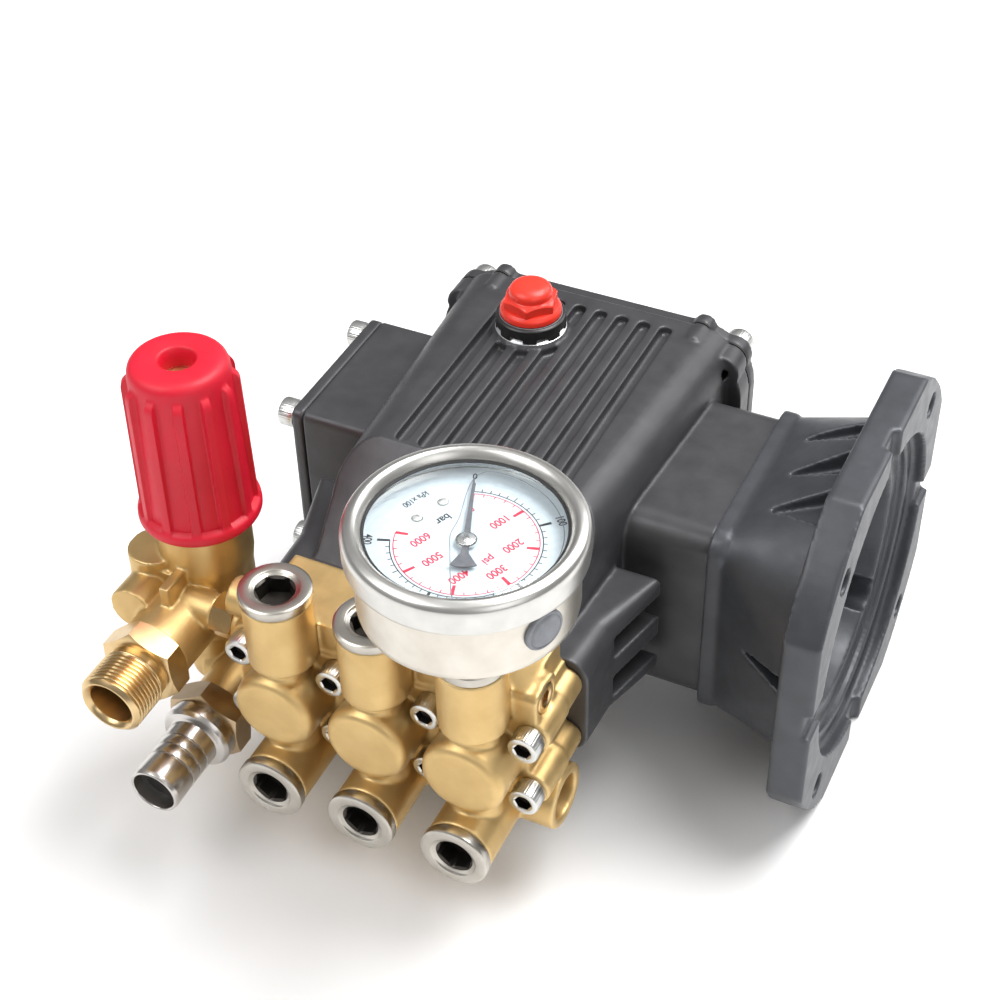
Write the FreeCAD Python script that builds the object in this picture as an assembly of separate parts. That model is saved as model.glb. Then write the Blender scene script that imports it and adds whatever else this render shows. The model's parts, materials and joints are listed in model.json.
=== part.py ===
"""Three-cylinder plunger pump of a pressure washer: brass head, unloader and gauge.

Frame: millimetres, origin on the shaft axis at the mating face of the engine flange.
X runs along the shaft and out of the flange, -Y points at the valve head, Z is up.
One STEP file is written for each sub-part.
"""
import FreeCAD, Part
import math
import os

V = FreeCAD.Vector

# ---------------------------------------------------------------- driving dimensions
PITCH = 32.5                 # distance between neighbouring plungers
ROW_X = -121.0               # middle plunger
STROKE = 6.6
THROW = STROKE / 2
PHASES = (0.0, 120.0, 240.0)
CYLINDERS = [ROW_X + k * PITCH for k in (-1, 0, 1)]
SCREW_COLUMNS = [ROW_X + k * PITCH for k in (-1.5, -0.5, 0.5, 1.5)]
SCREW_ROW_Z = 11.75          # the screw rows lie this far above and below the plungers

# crankcase
CASE_REAR_Y = 52.0
CASE_FRONT_Y = -86.0
CASE_TOP = 50.0
CASE_BOTTOM = -47.0
CASE_HALF_REAR = 52.0
CASE_HALF_FRONT = 43.0
CASE_SLOPE_Y = -46.0         # the roof falls towards the head from here
CASE_SLOPE_FOOT_Y = -78.5    # to here
CASE_ROUND = 13.0
WALL = 6.0
CAVITY_FRONT_Y = -29.0
RIM_DEPTH = 9.0
RIM_HALF = 57.0
RIM_ROUND = 20.0
FRONT_BLOCK_HALF = 56.0
FRONT_BLOCK_BOSS_Y = -67.0   # the block widens from its screw bosses to the rear
FRONT_BLOCK_HALF_REAR = 62.0
FRONT_BLOCK_REAR_Y = -41.5
FRONT_BLOCK_Z = 20.0
NECK_HALF = 36.0
NECK_ROUND = 8.0
NECK_END_X = -46.0
SIDE_BLOCK_X = -195.5
SIDE_BLOCK_HALF_Y = 30.0
SIDE_BLOCK_HALF_Z = 34.0
SIDE_COVER_X = -200.0
GROOVE_COUNT = 8
GROOVE_PITCH = 8.0
GROOVE_WIDTH = 4.4
GROOVE_DEPTH = 3.0
GROOVE_REAR_Y = 44.0
GROOVE_FRONT_Y = -43.0
REAR_COVER_END_Y = 61.0
GASKET = 0.8
FILLER = (-135.9, 27.3)      # x, y of the oil filler
SIGHT_GLASS = (ROW_X - 22.0, -8.0)
DRAIN = (ROW_X + 24.0, -30.0)
CASE_SCREW_BORE_R = 3.0
SEAL_POCKET_Y = CASE_FRONT_Y + 7.0

# crank train
LEFT_JOURNAL_R = 12.5
RIGHT_JOURNAL_R = 17.5
SHAFT_R = 17.0
ECCENTRIC_R = 21.0
ECCENTRIC_WIDTH = 12.0
ENGINE_BORE_R = 12.0
ENGINE_BORE_END_X = -82.0
SHAFT_END_X = -30.0
SHAFT_LEFT_X = -190.0
LEFT_BEARING = (-187.0, -172.0)
LEFT_BEARING_R = 26.0
RIGHT_BEARING = (-67.0, -53.0)
RIGHT_BEARING_R = 31.0
SEAL_END_X = -46.5
SEAL_R = 26.0
ROD_LENGTH = 44.0
ROD_WIDTH = 11.4
ROD_EYE_R = 6.5
ROD_EYE_WIDTH = 10.0
BIG_END_R = 26.0
PIN_R = 4.0
PIN_HALF = 11.0
CROSSHEAD_R = 14.0
PLUNGER_R = 9.0
PLUNGER_BORE_R = 5.0
GALLERY_PLUG_R = 1.1
RUNNING = 0.05               # radial running clearance

# head
HEAD_REAR_Y = CASE_FRONT_Y
PLATE_FRONT_Y = -98.0
PLATE_LOBE_R = 5.6
TOWER_R = 6.0
SCREW_SEAT_Y = -112.0
VALVE_Y = -117.0
UPPER_R = 10.8
UPPER_BOTTOM = 17.0
UPPER_TOP = 41.5
VALVE_NECK_R = 8.2
CAP_R = 11.4
CAP_THICK = 4.0
LOWER_Z = -28.0
LOWER_R = 11.0
LOWER_FRONT_Y = -130.5
BOSS_R = 13.7
BOSS_FRONT_Y = -128.0
BOSS_LENGTH = 18.8
GALLERY_Y = -104.5
GALLERY_Z = 22.0
GALLERY_R = 5.0
WEB_TOP = 28.5               # flat top of the brass between the valve barrels
WEB_X = (-166.0, -74.0)
WEB_FRONT_Y = -111.0
INLET_GALLERY_Y = -98.0
HEAD_LEFT_X = -178.0
HEAD_RIGHT_X = -70.5
INLET_PORT_X = -66.7
INLET_PORT_R = 7.6
INLET_PORT_DEPTH = 14.0
INLET_JOINT_X = -176.2       # the low gallery meets the inlet elbow here
PACKING_R = 13.0
PACKING_THICK = 4.0
PACKINGS_Y = (-87.5, -94.5)  # rear face of each packing
SEAT_R = 8.0
SEAT_THICK = 3.0
OUTLET_SEAT_Z = 19.0
INLET_SEAT_Y = -106.5
POPPET_R = 7.0
VALVE_LIFT = 2.0

# unloader, outlet and inlet
UNLOADER = (-200.5, -85.5)
UNLOADER_PORT = (-103.0, 9.0)
NUT_X = (HEAD_LEFT_X - 8.5, HEAD_LEFT_X)
SPRING_SEAT_Z = 62.0
PISTON_Z = 6.0
OUTLET_Z = 1.8
OUTLET_TUBE_R = 12.0
OUTLET_END_Y = -147.0
OUTLET_JOINT_Y = -121.0  # where the nipple meets the unloader body
OUTLET_BORE_R = 7.5
OUTLET_CHANNEL_R = 6.5  # inside the unloader body, behind the nipple
THREAD_R = 11.0
KNOB_TOP = 94.5
KNOB_BOTTOM = 35.0
KNOB_RIBS = 12
INLET_X = -187.0
INLET_Z = -29.0
BARB_END_Y = -150.0
BARB_R = 8.7

# gauge
GAUGE = (CYLINDERS[2], VALVE_Y)
GAUGE_CASE_R = 31.5
GAUGE_CASE_Z = (65.5, 89.0)
BEZEL_R = 34.2
BEZEL_TOP = 96.5
GLASS_R = 28.0
DIAL_Z = 84.0
FILL_Z = 78.5
ZERO_ANGLE = 111.0           # direction of the zero mark, from +X towards +Y

# engine flange
PILOT_R = 55.0
BOLT_CIRCLE = 130.0
FLANGE_SQUARE = 65.5
FLANGE_R = 73.5
FLANGE_THICK = 12.0
BELL_BASE_HALF = 38.5
BELL_BASE_X = -42.0
BELL_MOUTH_R = 57.0          # the bell is square at its base and round at the flange
BELL_CAVITY_R = (32.0, 42.0)
BELL_CAVITY_END_X = -8.0
POCKET_TIP_X = -34.0
POCKET_HALF = 6.5
POCKETS_TOP = (-22.0, -3.0, 16.0)


# ---------------------------------------------------------------- geometry helpers
def block(x0, x1, y0, y1, z0, z1):
    """Box between two corners."""
    return Part.makeBox(x1 - x0, y1 - y0, z1 - z0, V(x0, y0, z0))


def rod_x(radius, x0, x1, y=0.0, z=0.0):
    """Cylinder along X from x0 to x1."""
    return Part.makeCylinder(radius, x1 - x0, V(x0, y, z), V(1, 0, 0))


def rod_y(radius, y0, y1, x=0.0, z=0.0):
    """Cylinder along Y from y0 to y1."""
    return Part.makeCylinder(radius, y1 - y0, V(x, y0, z), V(0, 1, 0))


def rod_z(radius, z0, z1, x=0.0, y=0.0):
    """Cylinder along Z from z0 to z1."""
    return Part.makeCylinder(radius, z1 - z0, V(x, y, z0), V(0, 0, 1))


def join(*shapes):
    """One clean solid out of several overlapping ones."""
    return shapes[0].multiFuse(list(shapes[1:])).removeSplitter()


def carve(shape, *tools):
    """The shape with the tools cut away."""
    return shape.cut(list(tools)).removeSplitter()


def hexagon(flats, centre, direction, length, turn=0.0):
    """Hexagonal prism with the given width across flats."""
    radius = flats / math.sqrt(3)
    points = []
    for k in range(7):
        angle = math.radians(60 * k + turn)
        points.append(V(radius * math.cos(angle), radius * math.sin(angle), 0))
    prism = Part.Face(Part.makePolygon(points)).extrude(V(0, 0, length))
    prism.Placement = FreeCAD.Placement(V(*centre), FreeCAD.Rotation(V(0, 0, 1), V(*direction)))
    return prism


def rounded_profile(x0, x1, z0, z1, radius, y):
    """Closed wire of a rounded rectangle in the plane at y."""
    r = radius
    d = r * math.sqrt(0.5)
    corners = (
        (V(x0 + r, y, z0), V(x1 - r, y, z0), V(x1 - r + d, y, z0 + r - d), V(x1, y, z0 + r)),
        (V(x1, y, z0 + r), V(x1, y, z1 - r), V(x1 - r + d, y, z1 - r + d), V(x1 - r, y, z1)),
        (V(x1 - r, y, z1), V(x0 + r, y, z1), V(x0 + r - d, y, z1 - r + d), V(x0, y, z1 - r)),
        (V(x0, y, z1 - r), V(x0, y, z0 + r), V(x0 + r - d, y, z0 + r - d), V(x0 + r, y, z0)),
    )
    edges = []
    for start, end, middle, finish in corners:
        edges.append(Part.LineSegment(start, end).toShape())
        edges.append(Part.Arc(end, middle, finish).toShape())
    return Part.Wire(edges)


def rounded_block(half_a, half_b, radius, x0, x1):
    """Bar along X with a rounded rectangular section about the shaft axis."""
    profile = rounded_profile(-half_a, half_a, -half_b, half_b, radius, 0)
    profile.rotate(V(0, 0, 0), V(0, 0, 1), 90)
    profile.translate(V(x0, 0, 0))
    return Part.Face(profile).extrude(V(x1 - x0, 0, 0))


def spun(outline, centre, direction):
    """Solid of revolution of (radius, height) points about a line through centre."""
    points = [V(r, 0, h) for r, h in outline]
    face = Part.Face(Part.makePolygon(points + points[:1]))
    solid = face.revolve(V(0, 0, 0), V(0, 0, 1), 360)
    solid.Placement = FreeCAD.Placement(V(*centre), FreeCAD.Rotation(V(0, 0, 1), V(*direction)))
    return solid


def socket_screw(centre, direction, head_r, head_h, shank_r, shank_h):
    """Socket-head screw whose head stands on centre and whose shank runs against direction."""
    head = Part.makeCylinder(head_r, head_h)
    head = head.fuse(Part.makeCylinder(shank_r, shank_h, V(0, 0, -shank_h)))
    socket = hexagon(head_r, (0, 0, head_h * 0.4), (0, 0, 1), head_h)
    screw = head.cut(socket).removeSplitter()
    screw.Placement = FreeCAD.Placement(V(*centre), FreeCAD.Rotation(V(0, 0, 1), V(*direction)))
    return screw


def coil_spring(coil_r, wire_r, length, turns, centre, direction):
    """Open coil spring standing on centre."""
    free = length - 2 * wire_r
    helix = Part.makeHelix(free / turns, free, coil_r)
    section = Part.Wire(Part.Circle(V(coil_r, 0, 0), V(0, 1, 0), wire_r).toShape())
    coil = Part.Wire(helix.Edges).makePipeShell([section], True, True)
    coil.translate(V(0, 0, wire_r))
    coil.Placement = FreeCAD.Placement(
        V(*centre), FreeCAD.Rotation(V(0, 0, 1), V(*direction))).multiply(coil.Placement)
    return coil


def throw_offset(phase, radius):
    """(y, z) of a point at the given radius and crank phase."""
    return radius * math.cos(math.radians(phase)), radius * math.sin(math.radians(phase))


# ---------------------------------------------------------------- casing
COVER_SCREWS = [(ROW_X + sx * 49.0, sz * 39.0) for sx in (-1, 1) for sz in (-1, 1)]
COVER_SCREWS.append((ROW_X, -43.0))
SIDE_SCREWS = [(sy * 24.5, sz * 28.5) for sy in (-1, 1) for sz in (-1, 1)]
BELL_SCREWS = [(sy * 29.5, sz * 29.5) for sy in (-1, 1) for sz in (-1, 1)]
BASE_HOLES = [(ROW_X + sx * 35.0, y) for sx in (-1, 1) for y in (-20.0, 35.0)]
COVER_LUGS = (-38.0, 38.0)
LUG_R = 6.5


def cover_outline(y0, y1, shrink=0.0):
    """Rear outline of the crankcase with its lugs, between two planes."""
    s = shrink
    wire = rounded_profile(ROW_X - RIM_HALF + s, ROW_X + RIM_HALF - s, CASE_BOTTOM + 1 + s,
                           CASE_TOP - 2 - s, RIM_ROUND, y0)
    solid = Part.Face(wire).extrude(V(0, y1 - y0, 0))
    if shrink:
        return solid
    lugs = [rod_y(LUG_R, y0, y1, x, z) for x, z in COVER_SCREWS[:4]]
    lugs += [rod_y(4.0, y0, y1, ROW_X + dx, CASE_TOP - 3.0) for dx in COVER_LUGS]
    return join(solid, *lugs)


def case_body():
    """Tapered main box with a roof that falls towards the head."""
    sections = []
    for y, half in ((CASE_REAR_Y, CASE_HALF_REAR), (CASE_FRONT_Y, CASE_HALF_FRONT)):
        sections.append(rounded_profile(ROW_X - half, ROW_X + half, CASE_BOTTOM, CASE_TOP,
                                        CASE_ROUND, y))
    body = Part.makeLoft(sections, True, True)
    far = 80.0
    for sign, height in ((1, CASE_TOP), (-1, -CASE_BOTTOM)):
        wedge = Part.Face(Part.makePolygon([
            V(ROW_X - far, CASE_SLOPE_Y, sign * height),
            V(ROW_X - far, CASE_SLOPE_FOOT_Y, sign * FRONT_BLOCK_Z),
            V(ROW_X - far, CASE_FRONT_Y - 1, sign * FRONT_BLOCK_Z),
            V(ROW_X - far, CASE_FRONT_Y - 1, sign * far),
            V(ROW_X - far, CASE_SLOPE_Y, sign * far),
            V(ROW_X - far, CASE_SLOPE_Y, sign * height)])).extrude(V(2 * far, 0, 0))
        body = body.cut(wedge)
    return body


def front_block():
    """Flange that the head is bolted to, with hollows between its side ribs."""
    sections = []
    for y, half, radius in ((CASE_FRONT_Y, FRONT_BLOCK_HALF, 8.0),
                            (FRONT_BLOCK_BOSS_Y, FRONT_BLOCK_HALF, 6.0),
                            (FRONT_BLOCK_REAR_Y, FRONT_BLOCK_HALF_REAR, 2.0)):
        sections.append(rounded_profile(ROW_X - half, ROW_X + half, -FRONT_BLOCK_Z,
                                        FRONT_BLOCK_Z, radius, y))
    solid = Part.makeLoft(sections, True, True)
    hollows = []
    for side in (-1, 1):
        outer = ROW_X + side * (FRONT_BLOCK_HALF_REAR + 1)
        inner = ROW_X + side * (CASE_HALF_FRONT + 4)
        for low in (-13.5, 4.0):
            hollows.append(block(min(outer, inner), max(outer, inner), FRONT_BLOCK_BOSS_Y + 1,
                                 FRONT_BLOCK_REAR_Y + 1, low, low + 9.5))
    return carve(solid, *hollows)


def top_groove(index):
    """One round-ended cooling groove in the roof."""
    x = ROW_X + (index - (GROOVE_COUNT - 1) / 2) * GROOVE_PITCH
    r = GROOVE_WIDTH / 2
    low = CASE_TOP - GROOVE_DEPTH
    high = CASE_TOP + 1
    ends = [rod_z(r, low, high, x, y) for y in (GROOVE_FRONT_Y, GROOVE_REAR_Y)]
    return join(block(x - r, x + r, GROOVE_FRONT_Y, GROOVE_REAR_Y, low, high), *ends)


def crankcase():
    neck = rounded_block(NECK_HALF, NECK_HALF, NECK_ROUND, ROW_X + CASE_HALF_FRONT - 6, NECK_END_X)
    side = rounded_block(SIDE_BLOCK_HALF_Y, SIDE_BLOCK_HALF_Z, 3.0, SIDE_BLOCK_X,
                         ROW_X - CASE_HALF_FRONT + 4)
    rim = cover_outline(CASE_REAR_Y - RIM_DEPTH, CASE_REAR_Y)
    filler = rod_z(12.5, CASE_TOP - 4, CASE_TOP + 1.2, *FILLER)
    solid = join(case_body(), neck, side, rim, front_block(), filler)
    cuts = [top_groove(k).cut(rod_z(13.5, 0, 2 * CASE_TOP, *FILLER)) for k in range(GROOVE_COUNT)]
    inner = CASE_HALF_FRONT - WALL + 4
    cuts.append(block(ROW_X - inner, ROW_X + inner, CAVITY_FRONT_Y, CASE_REAR_Y + 1,
                      CASE_BOTTOM + WALL, CASE_TOP - WALL - GROOVE_DEPTH))
    for low, high in ((FRONT_BLOCK_Z - 2, 38.0), (-38.0, 2 - FRONT_BLOCK_Z)):
        cuts.append(block(ROW_X - 36, ROW_X + 36, CASE_SLOPE_Y - 4, CAVITY_FRONT_Y + 1, low, high))
    cuts.append(rod_x(LEFT_BEARING_R, LEFT_BEARING[0] - 2, LEFT_BEARING[1]))
    cuts.append(rod_x(LEFT_BEARING_R + 1, SIDE_BLOCK_X - 1, LEFT_BEARING[0]))
    cuts.append(rod_x(22.0, LEFT_BEARING[1] - 1, ROW_X))
    cuts.append(rod_x(RIGHT_BEARING_R, RIGHT_BEARING[0], RIGHT_BEARING[1]))
    cuts.append(rod_x(27.0, ROW_X, RIGHT_BEARING[0] + 1))
    cuts.append(rod_x(SEAL_R, RIGHT_BEARING[1] - 1, NECK_END_X + 1))
    for x in CYLINDERS:
        cuts.append(rod_y(CROSSHEAD_R + RUNNING, -62.5, CAVITY_FRONT_Y + 1, x))
        cuts.append(rod_y(PLUNGER_R + 0.6, CASE_FRONT_Y - 1, -60.0, x))
        cuts.append(rod_y(PACKING_R, CASE_FRONT_Y - 1, SEAL_POCKET_Y, x))
    cuts += [rod_y(CASE_SCREW_BORE_R, CASE_FRONT_Y - 1, -59.0, x, sz * SCREW_ROW_Z)
             for x in SCREW_COLUMNS for sz in (-1, 1)]
    cuts += [rod_y(2.5, CASE_REAR_Y - 12, CASE_REAR_Y + 1, x, z) for x, z in COVER_SCREWS]
    cuts += [rod_x(2.5, SIDE_BLOCK_X - 1, SIDE_BLOCK_X + 12, y, z) for y, z in SIDE_SCREWS]
    cuts += [rod_x(3.0, NECK_END_X - 12, NECK_END_X + 1, y, z) for y, z in BELL_SCREWS]
    cuts += [rod_z(3.4, CASE_BOTTOM - 1, CASE_BOTTOM + 14, x, y) for x, y in BASE_HOLES]
    cuts.append(rod_z(8.0, CASE_TOP - 12, CASE_TOP + 3, *FILLER))
    bosses = [rod_z(7.5, CASE_BOTTOM + 0.5, CASE_BOTTOM + 17, x, y) for x, y in BASE_HOLES]
    drilled = [rod_z(3.4, CASE_BOTTOM - 1, CASE_BOTTOM + 14, x, y) for x, y in BASE_HOLES]
    return carve(join(carve(solid, *cuts), *bosses), *drilled)


def rear_cover():
    solid = cover_outline(CASE_REAR_Y + GASKET, REAR_COVER_END_Y - 3)
    raised = cover_outline(REAR_COVER_END_Y - 4, REAR_COVER_END_Y, 8.0)
    solid = join(solid, raised)
    cuts = [cover_outline(CASE_REAR_Y, REAR_COVER_END_Y - 4, 12.0)]
    cuts += [rod_y(3.2, CASE_REAR_Y, REAR_COVER_END_Y, x, z) for x, z in COVER_SCREWS]
    cuts += [rod_y(5.8, REAR_COVER_END_Y - 3, REAR_COVER_END_Y + 1, x, z)
             for x, z in COVER_SCREWS]
    cuts.append(rod_y(9.0, CASE_REAR_Y, REAR_COVER_END_Y + 1, *SIGHT_GLASS))
    cuts.append(rod_y(5.0, CASE_REAR_Y, REAR_COVER_END_Y + 1, *DRAIN))
    return carve(solid, *cuts)


def rear_cover_gasket():
    ring = cover_outline(CASE_REAR_Y, CASE_REAR_Y + GASKET)
    cuts = [cover_outline(CASE_REAR_Y - 1, CASE_REAR_Y + 2, 12.0)]
    cuts += [rod_y(3.2, CASE_REAR_Y - 1, CASE_REAR_Y + 2, x, z) for x, z in COVER_SCREWS]
    return carve(ring, *cuts)


def sight_glass():
    x, z = SIGHT_GLASS
    return spun([(0, 0), (9.0, 0), (9.0, 8.0), (12.0, 8.0), (11.0, 11.5), (7.5, 11.5),
                 (7.0, 10.0), (0, 10.0)], (x, CASE_REAR_Y + 1, z), (0, 1, 0))


def drain_plug():
    x, z = DRAIN
    seat_y = REAR_COVER_END_Y
    shank = rod_y(5.0, CASE_REAR_Y + 2, seat_y, x, z)
    washer = rod_y(8.0, seat_y, seat_y + 1.5, x, z)
    head = hexagon(13.0, (x, seat_y + 1.5, z), (0, 1, 0), 6.0)
    return join(shank, washer, head)


def side_cover():
    solid = rounded_block(SIDE_BLOCK_HALF_Y, SIDE_BLOCK_HALF_Z, 3.0, SIDE_COVER_X, SIDE_BLOCK_X)
    spigot = rod_x(LEFT_BEARING_R + 1, SIDE_BLOCK_X - 1, LEFT_BEARING[0] - 2.5)
    relief = rod_x(22.0, SIDE_BLOCK_X - 2, LEFT_BEARING[0])
    holes = [rod_x(3.2, SIDE_COVER_X - 1, SIDE_BLOCK_X + 1, y, z) for y, z in SIDE_SCREWS]
    return carve(join(solid, spigot), relief, *holes)


def cover_screws():
    rear = [socket_screw((x, REAR_COVER_END_Y - 3, z), (0, 1, 0), 5.0, 6.0, 2.5, 14.0)
            for x, z in COVER_SCREWS]
    left = [socket_screw((SIDE_COVER_X, y, z), (-1, 0, 0), 5.0, 6.0, 2.5, 14.0)
            for y, z in SIDE_SCREWS]
    return Part.makeCompound(rear + left)


def oil_filler_collar():
    x, y = FILLER
    base = CASE_TOP + 1.2
    ring = spun([(8.2, 0), (12.2, 0), (12.2, 1.5), (11.2, 1.5), (11.2, 5.5), (8.2, 5.5)],
                (x, y, base), (0, 0, 1))
    notches = [rod_z(1.2, base - 1, base + 1.5, x + 12.4 * math.cos(math.radians(a)),
                     y + 12.4 * math.sin(math.radians(a))) for a in range(0, 360, 45)]
    return carve(ring, *notches)


def oil_filler_cap():
    x, y = FILLER
    base = CASE_TOP + 6.8
    skirt = spun([(0, 0), (10.6, 0), (10.6, 2.0), (9.5, 3.5), (0, 3.5)], (x, y, base), (0, 0, 1))
    flats = hexagon(17.0, (x, y, base + 3), (0, 0, 1), 4.0, 15)
    crown = spun([(0, 0), (7.6, 0), (7.6, 2.2), (6.4, 3.6), (4.0, 4.5), (0, 4.8)],
                 (x, y, base + 6.5), (0, 0, 1))
    plug = rod_z(7.2, base - 14, base + 1, x, y)
    return join(skirt, flats, crown, plug)


# ---------------------------------------------------------------- engine flange
def bell_section(half, radius, x):
    """Rounded square wire about the shaft axis at x."""
    wire = rounded_profile(-half, half, -half, half, radius, 0)
    wire.rotate(V(0, 0, 0), V(0, 0, 1), 90)
    wire.translate(V(x, 0, 0))
    return wire


def bell_pocket(offset, half, turn):
    """Wedge in the outside of the bell, widest and deepest beside the flange, turned about X."""
    tip = V(POCKET_TIP_X, offset, 60.0)
    mouth = [V(-FLANGE_THICK, offset + side * half, 60.0) for side in (-1, 1)]
    plan = Part.Face(Part.makePolygon([tip, mouth[0], mouth[1], tip])).extrude(V(0, 0, -30.0))
    floor_start = BELL_BASE_HALF - 0.5
    floor_end = BELL_CAVITY_R[1] + WALL
    floor = [(BELL_BASE_X, 60.0), (BELL_BASE_X, floor_start), (-FLANGE_THICK, floor_end), (0.0, floor_end),
             (0.0, 60.0)]
    side = Part.Face(Part.makePolygon([V(x, offset - 10, z) for x, z in floor + floor[:1]]))
    pocket = plan.common(side.extrude(V(0, 20, 0)))
    pocket.rotate(V(0, 0, 0), V(1, 0, 0), turn)
    return pocket


def flange_notches():
    """Four shallow slots in the register, at the top, bottom, front and rear of the flange."""
    notch = block(-2.5, 1, -5.0, 5.0, 54.0, 67.0)
    notches = []
    for turn in (0, 90, 180, 270):
        turned = notch.copy()
        turned.rotate(V(0, 0, 0), V(1, 0, 0), turn)
        notches.append(turned)
    return notches


def engine_flange():
    base = rounded_block(BELL_BASE_HALF, BELL_BASE_HALF, 8.0, NECK_END_X, BELL_BASE_X + 1)
    cone = Part.makeLoft([bell_section(BELL_BASE_HALF - 1, 8.0, BELL_BASE_X),
                          bell_section(BELL_MOUTH_R, BELL_MOUTH_R - 1, -FLANGE_THICK + 1)], True, True)
    disc = rod_x(FLANGE_R, -FLANGE_THICK, 0)
    square = block(-FLANGE_THICK, 0, -FLANGE_SQUARE, FLANGE_SQUARE, -FLANGE_SQUARE, FLANGE_SQUARE)
    solid = join(base, cone, disc.common(square))
    cuts = [bell_pocket(offset, POCKET_HALF, turn) for offset in POCKETS_TOP for turn in (0, 180)]
    cuts.append(bell_pocket(3.5, 3.5, 90))
    cuts.append(bell_pocket(-3.5, 3.5, -90))
    cuts.append(Part.makeCone(*BELL_CAVITY_R, BELL_CAVITY_END_X - BELL_BASE_X, V(BELL_BASE_X, 0, 0),
                              V(1, 0, 0)))
    cuts += [rod_x(PILOT_R, -5.0, 1), rod_x(50.0, BELL_CAVITY_END_X, 1),
             rod_x(30.0, NECK_END_X - 1, BELL_BASE_X + 1)]
    for sy in (-1, 1):
        for sz in (-1, 1):
            y = sy * BOLT_CIRCLE / 2 * math.sqrt(0.5)
            z = sz * BOLT_CIRCLE / 2 * math.sqrt(0.5)
            cuts.append(rod_x(4.5, -FLANGE_THICK - 1, 1, y, z))
            cuts.append(rod_x(8.5, -FLANGE_THICK - 12, -FLANGE_THICK, y, z))
    cuts += [rod_x(3.3, NECK_END_X - 1, BELL_BASE_X + 2, y, z) for y, z in BELL_SCREWS]
    cuts += [rod_x(5.8, BELL_BASE_X, BELL_CAVITY_END_X + 1, y, z) for y, z in BELL_SCREWS]
    return carve(solid, *cuts, *flange_notches())


def flange_screws():
    return Part.makeCompound([
        socket_screw((BELL_BASE_X, y, z), (1, 0, 0), 5.5, 6.0, 3.0, 15.0) for y, z in BELL_SCREWS])


# ---------------------------------------------------------------- bearings and seals
def ball_bearing(inner_r, outer_r, x0, x1):
    """Deep-groove bearing drawn as two rings and a shielded ball track."""
    third = (outer_r - inner_r) / 3
    inner = rod_x(inner_r + third, x0, x1)
    outer = rod_x(outer_r, x0, x1).cut(rod_x(outer_r - third, x0 - 1, x1 + 1))
    shield = rod_x(outer_r - third / 2, x0 + 1.5, x1 - 1.5)
    return carve(join(inner, outer, shield), rod_x(inner_r, x0 - 1, x1 + 1))


def side_bearing():
    return ball_bearing(LEFT_JOURNAL_R, LEFT_BEARING_R, *LEFT_BEARING)


def flange_bearing():
    return ball_bearing(RIGHT_JOURNAL_R, RIGHT_BEARING_R, *RIGHT_BEARING)


def shaft_seal():
    ring = rod_x(SEAL_R, RIGHT_BEARING[1] + 0.3, SEAL_END_X)
    return carve(ring, rod_x(RIGHT_JOURNAL_R + RUNNING, RIGHT_BEARING[1], NECK_END_X))


def ring_y(outer_r, inner_r, y0, y1, x):
    """Ring along Y on the axis of a plunger."""
    return rod_y(outer_r, y0, y1, x).cut(rod_y(inner_r, y0 - 1, y1 + 1, x))


def oil_seals():
    return Part.makeCompound([ring_y(PACKING_R, PLUNGER_R + RUNNING, CASE_FRONT_Y + 0.3,
                                    SEAL_POCKET_Y - 0.2, x)
                              for x in CYLINDERS])


def packings():
    rings = []
    for x in CYLINDERS:
        for y in PACKINGS_Y:
            rings.append(ring_y(PACKING_R, PLUNGER_R + RUNNING, y - PACKING_THICK, y, x))
    return Part.makeCompound(rings)


def packing_glands():
    glands = []
    for x in CYLINDERS:
        glands.append(ring_y(PACKING_R, PLUNGER_R + 0.3, PACKINGS_Y[0], HEAD_REAR_Y - 0.5, x))
        glands.append(ring_y(PACKING_R, PLUNGER_R + 0.3, PACKINGS_Y[1],
                             PACKINGS_Y[0] - PACKING_THICK, x))
    return Part.makeCompound(glands)


# ---------------------------------------------------------------- crank train
def crankshaft():
    left = rod_x(LEFT_JOURNAL_R, SHAFT_LEFT_X, LEFT_BEARING[1])
    middle = rod_x(SHAFT_R, LEFT_BEARING[1], RIGHT_BEARING[0])
    right = rod_x(RIGHT_JOURNAL_R, RIGHT_BEARING[0], SHAFT_END_X)
    sheaves = []
    for x, phase in zip(CYLINDERS, PHASES):
        y, z = throw_offset(phase, THROW)
        sheaves.append(rod_x(ECCENTRIC_R, x - ECCENTRIC_WIDTH / 2, x + ECCENTRIC_WIDTH / 2, y, z))
    solid = join(left, middle, right, *sheaves)
    keyway = block(ENGINE_BORE_END_X + 2, SHAFT_END_X + 1, -4.0, 4.0, 0.0, ENGINE_BORE_R + 3.3)
    plugs = [rod_x(GALLERY_PLUG_R + RUNNING, SHAFT_LEFT_X - 1, SHAFT_LEFT_X + 4.5,
                   *throw_offset(phase, THROW / 2)) for phase in PHASES]
    return carve(solid, rod_x(ENGINE_BORE_R, ENGINE_BORE_END_X, SHAFT_END_X + 1), keyway, *plugs)


def gallery_plug(index):
    y, z = throw_offset(PHASES[index], THROW / 2)
    return rod_x(GALLERY_PLUG_R, SHAFT_LEFT_X, SHAFT_LEFT_X + 4, y, z)


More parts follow.
